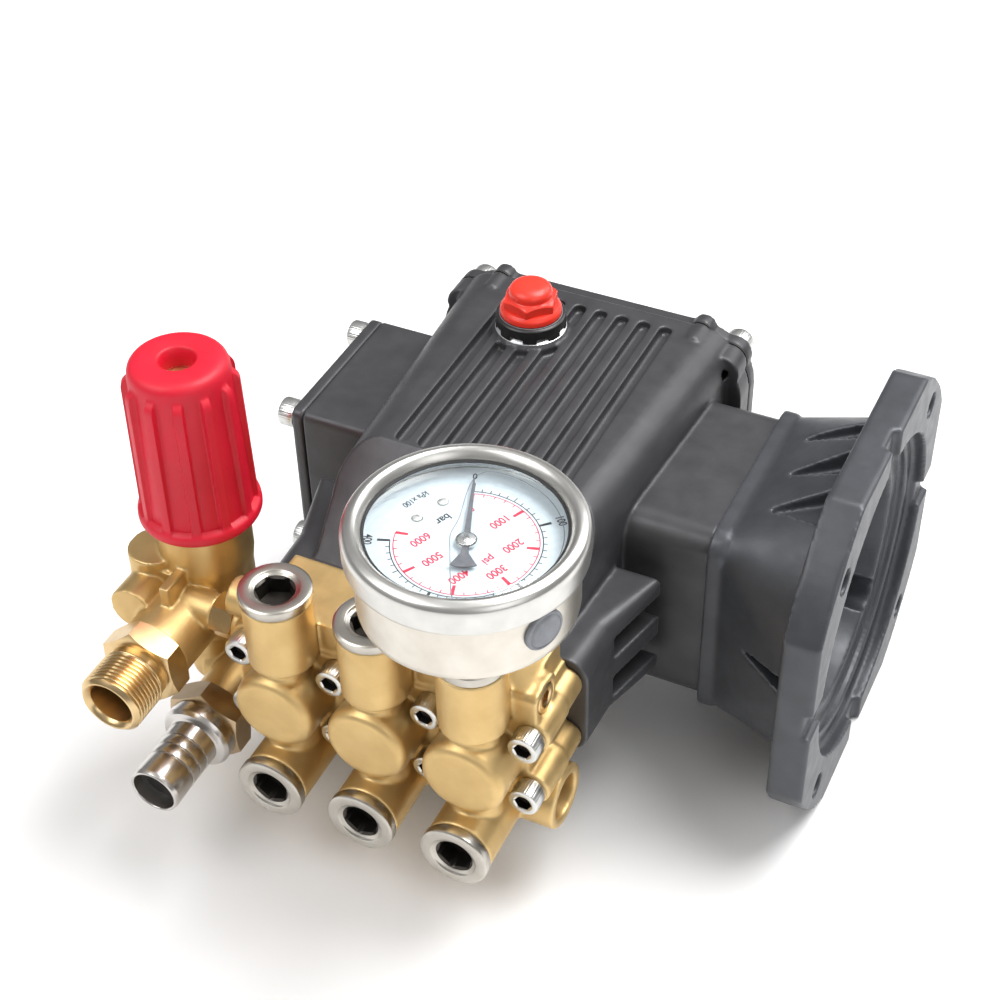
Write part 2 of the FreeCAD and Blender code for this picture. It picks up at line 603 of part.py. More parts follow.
def connecting_rod(index):
    """Rod with its wrist pin, drawn level as it stays through the whole turn."""
    x = CYLINDERS[index]
    y, z = throw_offset(PHASES[index], THROW)
    half = ROD_WIDTH / 2
    big_end = rod_x(BIG_END_R, x - half, x + half, y, z)
    shank = block(x - 4.5, x + 4.5, y - ROD_LENGTH, y, z - 5.0, z + 5.0)
    eye = rod_x(ROD_EYE_R, x - ROD_EYE_WIDTH / 2, x + ROD_EYE_WIDTH / 2, y - ROD_LENGTH, z)
    body = join(big_end, shank, eye)
    journal = rod_x(ECCENTRIC_R + RUNNING, x - half - 1, x + half + 1, y, z)
    pin_hole = rod_x(PIN_R + 0.02, x - half, x + half, y - ROD_LENGTH, z)
    pin = rod_x(PIN_R, x - PIN_HALF, x + PIN_HALF, y - ROD_LENGTH, z)
    return Part.makeCompound([carve(body, journal, pin_hole), pin])


def crosshead(index):
    """Slider with its plunger spindle; the wrist pin has a vertical slot to move in."""
    x = CYLINDERS[index]
    centre = throw_offset(PHASES[index], THROW)[0] - ROD_LENGTH
    slider = rod_y(CROSSHEAD_R, centre - 14, centre + 12, x)
    collar = rod_y(8.0, centre - 18, centre - 13, x)
    spindle = rod_y(PLUNGER_BORE_R - 0.02, centre - 60, centre - 17, x)
    nut = hexagon(12.0, (x, centre - 58, 0), (0, -1, 0), 4.0)
    solid = join(slider, collar, spindle, nut)
    pocket_z = ROD_EYE_R + THROW + 0.5
    pocket = block(x - 5.5, x + 5.5, centre - 7.2, centre + 13, -pocket_z, pocket_z)
    slot_z = PIN_R + THROW + 0.3
    slot = block(x - 20, x + 20, centre - PIN_R - 0.2, centre + PIN_R + 0.2, -slot_z, slot_z)
    return carve(solid, pocket, slot)


def plunger(index):
    x = CYLINDERS[index]
    centre = throw_offset(PHASES[index], THROW)[0] - ROD_LENGTH
    sleeve = rod_y(PLUNGER_R, centre - 58, centre - 18, x)
    return sleeve.cut(rod_y(PLUNGER_BORE_R, centre - 59, centre - 17, x))


# ---------------------------------------------------------------- valve head

def head_casting():
    """Outside of the brass head."""
    half = 1.5 * PITCH
    shapes = [block(ROW_X - half, ROW_X + half, PLATE_FRONT_Y, HEAD_REAR_Y, -19.0, 20.0),
              block(ROW_X - half + 1, ROW_X + half - 1, SCREW_SEAT_Y, PLATE_FRONT_Y + 1, -17.6, 17.0)]
    for x in SCREW_COLUMNS:
        for z in (-SCREW_ROW_Z, SCREW_ROW_Z):
            shapes.append(rod_y(PLATE_LOBE_R, PLATE_FRONT_Y, HEAD_REAR_Y, x, z))
            shapes.append(rod_y(TOWER_R, SCREW_SEAT_Y, PLATE_FRONT_Y + 1, x, z))
    boss = [(0, 0), (BOSS_R, 0), (BOSS_R, BOSS_LENGTH - 2.6), (BOSS_R - 0.8, BOSS_LENGTH - 0.9),
            (BOSS_R - 2.4, BOSS_LENGTH), (0, BOSS_LENGTH)]
    for x in CYLINDERS:
        shapes.append(rod_z(UPPER_R, UPPER_BOTTOM, UPPER_TOP, x, VALVE_Y))
        shapes.append(spun(boss, (x, BOSS_FRONT_Y + BOSS_LENGTH, 0), (0, -1, 0)))
        shapes.append(rod_y(LOWER_R, LOWER_FRONT_Y, INLET_GALLERY_Y, x, LOWER_Z))
        shapes.append(rod_z(VALVE_NECK_R, LOWER_Z, UPPER_BOTTOM + 1, x, VALVE_Y))
    gallery = rod_x(GALLERY_R + 1.4, HEAD_LEFT_X, HEAD_RIGHT_X - 1, GALLERY_Y, GALLERY_Z)
    web = block(*WEB_X, WEB_FRONT_Y, HEAD_REAR_Y, 14.0, WEB_TOP)
    corner = rounded_profile(WEB_FRONT_Y - 1, GALLERY_Y + 7.0, 13.0, WEB_TOP - 0.5, 3.0, 0)
    corner.rotate(V(0, 0, 0), V(0, 0, 1), 90)
    corner.translate(V(HEAD_RIGHT_X - 9.0, 0, 0))
    end_block = Part.Face(corner).extrude(V(9.0, 0, 0))
    low_gallery = rod_x(11.0, INLET_JOINT_X, INLET_PORT_X, INLET_GALLERY_Y, LOWER_Z)
    low_web = block(ROW_X - half, ROW_X + half, INLET_GALLERY_Y - 8, INLET_GALLERY_Y + 8,
                    LOWER_Z, -10.0)
    port = rod_x(7.5, HEAD_LEFT_X, SCREW_COLUMNS[0], *UNLOADER_PORT)
    return join(*shapes, gallery, web, end_block, low_gallery, low_web, port)


def manifold():
    cuts = []
    for x in CYLINDERS:
        cuts.append(rod_y(PLUNGER_R + 0.6, VALVE_Y - 6, HEAD_REAR_Y + 1, x))
        cuts.append(rod_y(PACKING_R, PACKINGS_Y[1] - PACKING_THICK, HEAD_REAR_Y + 1, x))
        cuts.append(rod_z(5.5, LOWER_Z, OUTLET_SEAT_Z, x, VALVE_Y))
        cuts.append(rod_z(SEAT_R, OUTLET_SEAT_Z, 33.0, x, VALVE_Y))
        cuts.append(rod_z(9.0, 32.0, UPPER_TOP + 1, x, VALVE_Y))
        cuts.append(rod_y(SEAT_R, -124.0, INLET_SEAT_Y, x, LOWER_Z))
        cuts.append(rod_y(9.0, LOWER_FRONT_Y - 1, -121.0, x, LOWER_Z))
        cuts.append(rod_y(5.5, INLET_SEAT_Y - 1, INLET_GALLERY_Y, x, LOWER_Z))
    cuts.append(rod_x(GALLERY_R, HEAD_LEFT_X + 3, HEAD_RIGHT_X + 1, GALLERY_Y, GALLERY_Z))
    port_y, port_z = UNLOADER_PORT
    cuts.append(rod_x(3.5, HEAD_LEFT_X - 1, HEAD_LEFT_X + 4, port_y, port_z))
    cuts.append(rod_z(1.8, port_z, GALLERY_Z, HEAD_LEFT_X + 2.6, GALLERY_Y))
    cuts.append(rod_x(6.5, INLET_JOINT_X - 1, INLET_PORT_X + 1, INLET_GALLERY_Y, LOWER_Z))
    cuts.append(rod_x(INLET_PORT_R, INLET_PORT_X - INLET_PORT_DEPTH, INLET_PORT_X + 1,
                      INLET_GALLERY_Y, LOWER_Z))
    for x in SCREW_COLUMNS:
        cuts += [rod_y(3.2, SCREW_SEAT_Y - 1, HEAD_REAR_Y + 1, x, sz * SCREW_ROW_Z)
                 for sz in (-1, 1)]
        cuts += [rod_y(5.6, SCREW_SEAT_Y - 22, SCREW_SEAT_Y, x, sz * SCREW_ROW_Z)
                 for sz in (-1, 1)]
    return carve(head_casting(), *cuts)


def manifold_screws():
    return Part.makeCompound([
        socket_screw((x, SCREW_SEAT_Y, sz * SCREW_ROW_Z), (0, -1, 0), 5.0, 6.5, 3.0, 50.0)
        for x in SCREW_COLUMNS for sz in (-1, 1)])


def valve_cap(centre, direction):
    """Threaded cap with a hexagon socket; centre is where its head seats."""
    body = spun([(0, -9.0), (8.9, -9.0), (8.9, 0), (CAP_R, 0), (CAP_R, CAP_THICK - 1.0),
                 (CAP_R - 1.0, CAP_THICK), (0, CAP_THICK)], (0, 0, 0), (0, 0, 1))
    dish = spun([(0, CAP_THICK + 1), (7.6, CAP_THICK + 1), (7.0, CAP_THICK - 0.8),
                 (0, CAP_THICK - 0.8)], (0, 0, 0), (0, 0, 1))
    socket = hexagon(10.0, (0, 0, CAP_THICK - 7.5), (0, 0, 1), 9.0)
    bore = rod_z(6.0, -10.0, -5.0)
    cap = carve(body, dish, socket, bore)
    cap.Placement = FreeCAD.Placement(V(*centre), FreeCAD.Rotation(V(0, 0, 1), V(*direction)))
    return cap


def valve_caps():
    caps = [valve_cap((x, VALVE_Y, UPPER_TOP), (0, 0, 1)) for x in CYLINDERS[:2]]
    caps += [valve_cap((x, LOWER_FRONT_Y, LOWER_Z), (0, -1, 0)) for x in CYLINDERS]
    return Part.makeCompound(caps)


def gauge_adaptor():
    x, y = GAUGE
    body = spun([(0, -9.0), (8.9, -9.0), (8.9, 0), (10.4, 0), (10.4, 3.5), (9.6, 4.5),
                 (0, 4.5)], (x, y, UPPER_TOP), (0, 0, 1))
    hexa = hexagon(17.0, (x, y, UPPER_TOP + 4), (0, 0, 1), 10.0)
    bore = rod_z(6.5, UPPER_TOP - 10, UPPER_TOP - 5, x, y)
    return carve(join(body, hexa), bore, rod_z(5.0, UPPER_TOP + 4, UPPER_TOP + 15, x, y),
                 rod_z(1.0, UPPER_TOP - 6, UPPER_TOP + 5, x, y))


def valve_seat(centre, direction):
    seat = Part.makeCylinder(SEAT_R, SEAT_THICK).cut(Part.makeCylinder(4.5, SEAT_THICK))
    seat.Placement = FreeCAD.Placement(V(*centre), FreeCAD.Rotation(V(0, 0, 1), V(*direction)))
    return seat


def valve_seats():
    seats = [valve_seat((x, VALVE_Y, OUTLET_SEAT_Z), (0, 0, 1)) for x in CYLINDERS]
    seats += [valve_seat((x, INLET_SEAT_Y, LOWER_Z), (0, -1, 0)) for x in CYLINDERS]
    return Part.makeCompound(seats)


def poppet(centre, direction):
    """Disc valve with a guide spigot under its spring."""
    body = spun([(0, 0), (POPPET_R, 0), (POPPET_R, 1.5), (5.0, 2.3), (3.0, 2.3), (3.0, 4.5),
                 (0, 4.5)], centre, direction)
    return body


def outlet_valve_poppet(index):
    return poppet((CYLINDERS[index], VALVE_Y, OUTLET_SEAT_Z + SEAT_THICK + 0.1), (0, 0, 1))


def inlet_valve_poppet(index):
    return poppet((CYLINDERS[index], INLET_SEAT_Y - SEAT_THICK - 0.1, LOWER_Z), (0, -1, 0))


def valve_springs():
    low = OUTLET_SEAT_Z + SEAT_THICK + 2.5
    length = UPPER_TOP - 5.2 - low
    springs = [coil_spring(4.3, 0.65, length, 4, (x, VALVE_Y, low), (0, 0, 1)) for x in CYLINDERS]
    start = INLET_SEAT_Y - SEAT_THICK - 2.5
    reach = start - (LOWER_FRONT_Y + 5.2)
    springs += [coil_spring(4.3, 0.65, reach, 4, (x, start, LOWER_Z), (0, -1, 0))
                for x in CYLINDERS]
    return Part.makeCompound(springs)


def end_plug():
    """Flush socket plug in the right end of the outlet gallery."""
    plug = rod_x(GALLERY_R - 0.05, HEAD_RIGHT_X - 8, HEAD_RIGHT_X, GALLERY_Y, GALLERY_Z)
    socket = hexagon(5.0, (HEAD_RIGHT_X - 4, GALLERY_Y, GALLERY_Z), (1, 0, 0), 6.0)
    return carve(plug, socket)


# ---------------------------------------------------------------- unloader and outlet

def unloader_body():
    x, y = UNLOADER
    trunk = spun([(0, -13.0), (13.0, -13.0), (14.5, -10.0), (14.5, 12.0), (15.3, 18.0),
                  (15.3, 33.0), (12.5, 35.0), (12.5, 60.0), (0, 60.0)], (x, y, 0), (0, 0, 1))
    outlet = rod_y(OUTLET_TUBE_R, OUTLET_JOINT_Y, y, x, OUTLET_Z)
    arm_y, arm_z = UNLOADER_PORT
    arm = rod_x(6.0, x, NUT_X[0], arm_y, arm_z)
    side_x = x - 14.0
    side_stub = rod_z(9.0, -4.0, 20.5, side_x, y - 9.0)
    side_barrel = rod_y(8.0, -113.0, y - 4.0, side_x + 1, 8.0)
    bridge = block(side_x, x, y - 16.0, y, -6.0, 17.0)
    rib = block(x - 1.8, x + 1.8, y - 26.0, y - 8.0, OUTLET_Z + 8, 21.0)
    solid = join(trunk, outlet, arm, side_stub, side_barrel, bridge, rib)
    cuts = [rod_z(9.5, PISTON_Z - 2, 61.0, x, y), rod_z(5.0, -14.0, PISTON_Z, x, y),
            rod_y(OUTLET_CHANNEL_R, OUTLET_JOINT_Y - 1, y, x, OUTLET_Z),
            rod_x(3.5, x, NUT_X[0] + 1, arm_y, arm_z)]
    return carve(solid, *cuts)


def unloader_nut():
    y, z = UNLOADER_PORT
    nut = hexagon(13.0, (NUT_X[0], y, z), (1, 0, 0), NUT_X[1] - NUT_X[0])
    return carve(nut, rod_x(3.5, NUT_X[0] - 1, NUT_X[1] + 1, y, z))


def outlet_nipple():
    x = UNLOADER[0]
    hexa = hexagon(25.0, (x, OUTLET_JOINT_Y, OUTLET_Z), (0, -1, 0), 9.0)
    thread = spun([(0, 0), (9.6, 0), (THREAD_R, 1.5), (THREAD_R, 17.0), (0, 17.0)],
                  (x, OUTLET_END_Y, OUTLET_Z), (0, 1, 0))
    bore = rod_y(OUTLET_BORE_R, OUTLET_END_Y - 1, OUTLET_JOINT_Y + 1, x, OUTLET_Z)
    return carve(join(hexa, thread), bore)


def unloader_piston():
    x, y = UNLOADER
    return spun([(0, 0), (4.6, 0), (4.6, 3.0), (9.4, 3.0), (9.4, 15.0), (4.0, 15.0), (4.0, 20.0),
                 (0, 20.0)], (x, y, PISTON_Z - 2.5), (0, 0, 1))


def unloader_spring():
    x, y = UNLOADER
    low = PISTON_Z + 12.8
    return coil_spring(6.6, 1.6, SPRING_SEAT_Z - 8.3 - low, 6, (x, y, low), (0, 0, 1))


def unloader_spring_seat():
    x, y = UNLOADER
    return spun([(0, -8.0), (9.2, -8.0), (9.2, -1.0), (5.0, -1.0), (5.0, 26.0), (0, 26.0)],
                (x, y, SPRING_SEAT_Z), (0, 0, 1))


def unloader_knob():
    x, y = UNLOADER
    height = KNOB_TOP - KNOB_BOTTOM
    outside = spun([(0, 0), (19.4, 0), (19.9, 1.5), (19.9, 4.0), (18.9, 6.0), (17.4, height - 7),
                    (15.5, height - 2.5), (13.0, height), (0, height)], (x, y, KNOB_BOTTOM),
                   (0, 0, 1))
    ribs = []
    for k in range(KNOB_RIBS):
        bar = Part.makeBox(3.0, 3.1, height - 10, V(16.4, -1.55, 4.0))
        bar.rotate(V(0, 0, 0), V(0, 0, 1), 360 * k / KNOB_RIBS)
        bar.translate(V(x, y, KNOB_BOTTOM))
        ribs.append(bar)
    hollow = rod_z(16.2, KNOB_BOTTOM - 1, SPRING_SEAT_Z + 5, x, y)
    stem = rod_z(5.02, SPRING_SEAT_Z, SPRING_SEAT_Z + 26, x, y)
    dimple = spun([(0, -9.0), (4.0, -9.0), (6.0, 0), (6.0, 1.0), (0, 1.0)], (x, y, KNOB_TOP),
                  (0, 0, 1))
    return carve(join(outside, *ribs), hollow, stem, dimple)


# ---------------------------------------------------------------- inlet
def inlet_elbow():
    ux, uy = UNLOADER
    tube = rod_y(10.5, -111.0, -82.0, INLET_X, INLET_Z)
    port = rod_x(9.0, INLET_X, INLET_JOINT_X - 0.3, INLET_GALLERY_Y, LOWER_Z)
    branch = rod_x(8.5, ux, INLET_X, uy - 5.0, INLET_Z)
    bypass = rod_z(8.5, INLET_Z, -13.3, ux, uy - 3.0)
    knuckle = Part.makeSphere(8.5, V(ux, uy - 4.0, INLET_Z))
    solid = join(tube, port, branch, bypass, knuckle)
    cuts = [rod_y(7.0, -112.0, -88.0, INLET_X, INLET_Z),
            rod_x(6.5, INLET_X, INLET_JOINT_X + 1, INLET_GALLERY_Y, LOWER_Z),
            rod_x(4.5, ux, INLET_X, uy - 5.0, INLET_Z), rod_z(4.5, INLET_Z, -12.0, ux, uy - 3.0)]
    return carve(solid, *cuts)


def inlet_nut():
    nut = hexagon(25.0, (INLET_X, -111.0, INLET_Z), (0, -1, 0), 9.0)
    return carve(nut, rod_y(7.0, -121.0, -110.0, INLET_X, INLET_Z))


def hose_barb():
    outline = [(6.2, 0), (12.2, 0), (12.2, 4.5), (11.0, 6.0), (BARB_R, 6.0)]
    for k in range(4):
        start = 10.0 + 4.6 * k
        outline += [(BARB_R, start), (BARB_R - 0.7, start + 0.2), (BARB_R, start + 1.2)]
    end = -120.0 - BARB_END_Y
    outline += [(BARB_R, end - 0.8), (BARB_R - 0.8, end), (6.2, end)]
    return spun(outline, (INLET_X, -120.0, INLET_Z), (0, -1, 0))


# ---------------------------------------------------------------- pressure gauge
def gauge_case():
    x, y = GAUGE
    low, high = GAUGE_CASE_Z
    r = GAUGE_CASE_R
    shell = spun([(0, 0), (r - 3, 0), (r - 0.8, 0.8), (r, 3), (r, high - low), (r - 1.2, high - low),
                  (r - 1.2, 2), (0, 2)], (x, y, low), (0, 0, 1))
    stem = join(hexagon(14.0, (x, y, UPPER_TOP + 14.1), (0, 0, 1), low - UPPER_TOP - 13.5),
                rod_z(4.95, UPPER_TOP + 5, low + 0.5, x, y))
    movement = block(x - 8, x + 8, y - 6, y + 6, low + 1, DIAL_Z - 4)
    hole = rod_x(5.6, 0, GAUGE_CASE_R + 5)
    hole.rotate(V(0, 0, 0), V(0, 0, 1), ZERO_ANGLE - 135)
    hole.translate(V(x, y, FILL_Z))
    return carve(join(shell, stem, movement), hole, rod_z(1.4, DIAL_Z - 14, DIAL_Z, x, y))


def gauge_fill_plug():
    x, y = GAUGE
    plug = spun([(0, -1.3), (5.5, -1.3), (5.5, 0), (6.3, 0.6), (6.3, 1.0), (5.0, 1.9), (0, 2.1)],
                (GAUGE_CASE_R + 0.1, 0, 0), (1, 0, 0))
    plug.rotate(V(0, 0, 0), V(0, 0, 1), ZERO_ANGLE - 135)
    plug.translate(V(x, y, FILL_Z))
    return plug


def gauge_bezel():
    x, y = GAUGE
    low = 86.0
    top = BEZEL_TOP - low
    r = GAUGE_CASE_R + 0.05
    return spun([(r, 0), (BEZEL_R - 0.8, 0), (BEZEL_R, 1.0), (BEZEL_R, top - 3.0),
                 (BEZEL_R - 1.2, top - 0.9), (BEZEL_R - 3.2, top), (GLASS_R + 1.4, top - 1.0),
                 (GLASS_R, top - 3.2), (r, top - 3.2)], (x, y, low), (0, 0, 1))


def gauge_glass():
    x, y = GAUGE
    return rod_z(GAUGE_CASE_R, 90.6, BEZEL_TOP - 3.3, x, y)


def gauge_dial():
    x, y = GAUGE
    return carve(rod_z(GAUGE_CASE_R - 1.4, DIAL_Z - 0.8, DIAL_Z, x, y),
                 rod_z(1.4, DIAL_Z - 2, DIAL_Z + 1, x, y))


def gauge_pointer():
    x, y = GAUGE
    hub = rod_z(2.6, DIAL_Z + 1.0, DIAL_Z + 3.0, x, y)
    spindle = rod_z(1.2, DIAL_Z - 10, DIAL_Z + 2, x, y)
    points = [(0, 1.3), (18.0, 0.7), (19.5, 0), (18.0, -0.7), (0, -1.3), (-6.0, -1.2), (-10.0, -3.4),
              (-10.0, 3.4), (-6.0, 1.2), (0, 1.3)]
    hand = Part.Face(Part.makePolygon([V(a, b, 0) for a, b in points])).extrude(V(0, 0, 0.6))
    hand.rotate(V(0, 0, 0), V(0, 0, 1), ZERO_ANGLE)
    hand.translate(V(x, y, DIAL_Z + 1.6))
    return join(hub, spindle, hand)


# ---------------------------------------------------------------- output
SINGLE = (
    crankcase, rear_cover, rear_cover_gasket, sight_glass, drain_plug, side_cover, cover_screws,
    oil_filler_collar, oil_filler_cap, engine_flange, flange_screws, side_bearing, flange_bearing,
    shaft_seal, oil_seals, packings, packing_glands, crankshaft, manifold, manifold_screws,
    valve_caps, gauge_adaptor, valve_seats, valve_springs, end_plug, unloader_body, unloader_nut,
    outlet_nipple, unloader_piston, unloader_spring, unloader_spring_seat, unloader_knob,
    inlet_elbow, inlet_nut, hose_barb, gauge_case, gauge_fill_plug, gauge_bezel, gauge_glass,
    gauge_dial, gauge_pointer)
PER_CYLINDER = (
    connecting_rod, crosshead, plunger, gallery_plug, outlet_valve_poppet, inlet_valve_poppet)


def main():
    os.makedirs("parts", exist_ok=True)
    pieces = {make.__name__: make() for make in SINGLE}
    for make in PER_CYLINDER:
        for index in range(len(CYLINDERS)):
            pieces[f"{make.__name__}_{index + 1}"] = make(index)
    for name, shape in pieces.items():
        print(f"{name:26s} solids {len(shape.Solids)} valid {shape.isValid()} "
              f"volume {shape.Volume:.0f}")
        shape.exportStep(f"parts/{name}.step")


main()
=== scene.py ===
import json
import math
import bmesh
import bpy
import numpy as np
from mathutils import Matrix, Vector


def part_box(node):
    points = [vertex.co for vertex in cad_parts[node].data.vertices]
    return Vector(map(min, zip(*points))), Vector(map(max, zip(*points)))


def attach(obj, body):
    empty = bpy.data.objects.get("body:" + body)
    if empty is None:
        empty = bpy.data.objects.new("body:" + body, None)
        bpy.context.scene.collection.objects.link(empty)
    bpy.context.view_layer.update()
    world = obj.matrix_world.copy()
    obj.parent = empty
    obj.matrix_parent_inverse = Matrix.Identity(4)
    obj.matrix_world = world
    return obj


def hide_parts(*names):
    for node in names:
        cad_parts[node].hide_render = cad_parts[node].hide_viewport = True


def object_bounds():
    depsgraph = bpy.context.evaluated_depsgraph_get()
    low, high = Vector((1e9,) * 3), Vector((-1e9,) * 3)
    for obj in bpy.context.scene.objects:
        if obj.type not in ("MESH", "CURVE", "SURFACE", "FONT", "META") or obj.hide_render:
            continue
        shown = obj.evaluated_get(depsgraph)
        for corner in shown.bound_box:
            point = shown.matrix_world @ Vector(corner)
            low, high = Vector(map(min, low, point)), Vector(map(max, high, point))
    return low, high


# Looks of a pressure washer pump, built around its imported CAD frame. Shapes are given in millimetres
# in the frame of the CAD part and become metres when a mesh is made.

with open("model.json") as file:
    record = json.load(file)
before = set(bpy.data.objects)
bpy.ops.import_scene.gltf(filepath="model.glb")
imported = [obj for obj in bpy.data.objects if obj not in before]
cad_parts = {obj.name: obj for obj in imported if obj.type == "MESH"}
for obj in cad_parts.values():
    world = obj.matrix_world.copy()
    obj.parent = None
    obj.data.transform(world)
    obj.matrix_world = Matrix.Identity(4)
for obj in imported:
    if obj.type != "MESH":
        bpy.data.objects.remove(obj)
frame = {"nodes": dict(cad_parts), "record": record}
cad_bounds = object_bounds()

MM = 0.001
TAU = 2 * math.pi

# ---------------------------------------------------------------- camera and light
CAMERA_PLACE = Vector((88.2, -452.9, 436.4)) * MM
CAMERA_AZIMUTH = 26.33
CAMERA_ELEVATION = 41.29
CAMERA_ROLL = -1.42
CAMERA_LENS = 68.4
FLOOR_SIZE = 6.0
AIM = Vector((-0.11, -0.04, 0.02))


def box_mm(node):
    """Lowest corner, highest corner and middle of a CAD node, in millimetres."""
    low, high = (np.array(corner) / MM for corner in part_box(node))
    return low, high, (low + high) / 2


def set_camera():
    azimuth, elevation, roll = (math.radians(a) for a in
                                (CAMERA_AZIMUTH, CAMERA_ELEVATION, CAMERA_ROLL))
    back = Vector((math.sin(azimuth) * math.cos(elevation),
                   -math.cos(azimuth) * math.cos(elevation), math.sin(elevation)))
    level = Vector((math.cos(azimuth), math.sin(azimuth), 0))
    up = back.cross(level)
    side = math.cos(roll) * level + math.sin(roll) * up
    up = back.cross(side)
    data = bpy.data.cameras.new("camera")
    data.lens = CAMERA_LENS
    data.sensor_width = 36.0
    data.clip_start = 0.01
    camera = bpy.data.objects.new("camera", data)
    camera.matrix_world = Matrix.Translation(CAMERA_PLACE) @ Matrix(
        (side, up, back)).transposed().to_4x4()
    bpy.context.scene.collection.objects.link(camera)
    bpy.context.scene.camera = camera


def area_light(name, place, size, power):
    data = bpy.data.lights.new(name, "AREA")
    data.shape = "RECTANGLE"
    data.size, data.size_y = size
    data.energy = power
    light = bpy.data.objects.new(name, data)
    light.location = Vector(place)
    light.rotation_euler = (AIM - light.location).to_track_quat("-Z", "Y").to_euler()
    bpy.context.scene.collection.objects.link(light)


def set_world():
    """Pale room, bright overhead and dimmer at eye level, so that metal shows some contrast."""
    world = bpy.data.worlds.new("room")
    bpy.context.scene.world = world
    world.use_nodes = True
    nodes, links = world.node_tree.nodes, world.node_tree.links
    nodes.clear()
    where = nodes.new("ShaderNodeTexCoord")
    split = nodes.new("ShaderNodeSeparateXYZ")
    ramp = nodes.new("ShaderNodeValToRGB")
    shade = nodes.new("ShaderNodeBackground")
    out = nodes.new("ShaderNodeOutputWorld")
    stops = ramp.color_ramp.elements
    stops[0].position, stops[0].color = 0.0, (0.30, 0.30, 0.31, 1)
    stops[1].position, stops[1].color = 0.85, (1.0, 1.0, 1.0, 1)
    middle = stops.new(0.35)
    middle.color = (0.62, 0.62, 0.63, 1)
    shade.inputs["Strength"].default_value = 0.52
    links.new(where.outputs["Generated"], split.inputs[0])
    links.new(split.outputs["Z"], ramp.inputs["Fac"])
    links.new(ramp.outputs["Color"], shade.inputs["Color"])
    links.new(shade.outputs[0], out.inputs["Surface"])


def set_lights():
    area_light("key", (-0.75, -0.75, 1.15), (0.9, 0.9), 10)
    area_light("fill", (0.95, -0.8, 0.75), (0.8, 0.8), 3)
    area_light("top", (0.30, 0.38, 1.25), (0.9, 0.7), 20)
    area_light("rear", (0.5, 1.1, 0.7), (0.8, 0.5), 4)
    bpy.context.scene.view_settings.view_transform = "Standard"


def add_floor():
    low = cad_bounds[0]
    half = FLOOR_SIZE / 2
    mesh = bpy.data.meshes.new("floor")
    mesh.from_pydata([(-half, -half, low.z), (half, -half, low.z), (half, half, low.z),
                      (-half, half, low.z)], [], [(0, 1, 2, 3)])
    floor = bpy.data.objects.new("floor", mesh)
    bpy.context.scene.collection.objects.link(floor)
    mesh.materials.append(plain_floor())


# ---------------------------------------------------------------- materials
def new_material(name):
    """An empty node material: (material, nodes, links, principled shader)."""
    made = bpy.data.materials.new(name)
    made.use_nodes = True
    nodes, links = made.node_tree.nodes, made.node_tree.links
    nodes.clear()
    shader = nodes.new("ShaderNodeBsdfPrincipled")
    out = nodes.new("ShaderNodeOutputMaterial")
    links.new(shader.outputs[0], out.inputs["Surface"])
    return made, nodes, links, shader


def noise(nodes, links, scale, detail=3.0, stretch=(1, 1, 1)):
    """Noise in object space, given as cells per metre; returns its value socket."""
    where = nodes.new("ShaderNodeTexCoord")
    spread = nodes.new("ShaderNodeMapping")
    spread.inputs["Scale"].default_value = stretch
    texture = nodes.new("ShaderNodeTexNoise")
    texture.inputs["Scale"].default_value = scale
    texture.inputs["Detail"].default_value = detail
    links.new(where.outputs["Object"], spread.inputs["Vector"])
    links.new(spread.outputs[0], texture.inputs["Vector"])
    return texture.outputs["Fac"]


def blend_colour(nodes, links, factor, low, high, start=0.3, end=0.7):
    """Colour that runs from low to high as factor goes from start to end."""
    ramp = nodes.new("ShaderNodeValToRGB")
    stops = ramp.color_ramp.elements
    stops[0].position, stops[0].color = start, (*low, 1)
    stops[1].position, stops[1].color = end, (*high, 1)
    links.new(factor, ramp.inputs["Fac"])
    return ramp.outputs["Color"]


def mix_colour(nodes, links, factor, first, second):
    """Colour socket that goes from first to second with factor; second may be a colour."""
    mix = nodes.new("ShaderNodeMix")
    mix.data_type = "RGBA"
    links.new(factor, mix.inputs["Factor"])
    links.new(first, mix.inputs["A"])
    if isinstance(second, tuple):
        mix.inputs["B"].default_value = (*second, 1)
    else:
        links.new(second, mix.inputs["B"])
    return mix.outputs["Result"]


def rescale(nodes, links, value, start, end, low, high):
    """Value socket moved from start..end to low..high."""
    change = nodes.new("ShaderNodeMapRange")
    change.inputs["From Min"].default_value = start
    change.inputs["From Max"].default_value = end
    change.inputs["To Min"].default_value = low
    change.inputs["To Max"].default_value = high
    links.new(value, change.inputs["Value"])
    return change.outputs["Result"]


def bump(nodes, links, height, shader, depth, before=None):
    """Bump of the given depth in millimetres, on top of an earlier one if there is one."""
    lift = nodes.new("ShaderNodeBump")
    lift.inputs["Strength"].default_value = 1.0
    lift.inputs["Distance"].default_value = depth * MM
    links.new(height, lift.inputs["Height"])
    if before is not None:
        links.new(before, lift.inputs["Normal"])
    links.new(lift.outputs[0], shader.inputs["Normal"])
    return lift.outputs[0]


def edge_factor(nodes, links, start, end):
    """0 on flat surface and 1 on outward edges."""
    geometry = nodes.new("ShaderNodeNewGeometry")
    return rescale(nodes, links, geometry.outputs["Pointiness"], start, end, 0.0, 1.0)


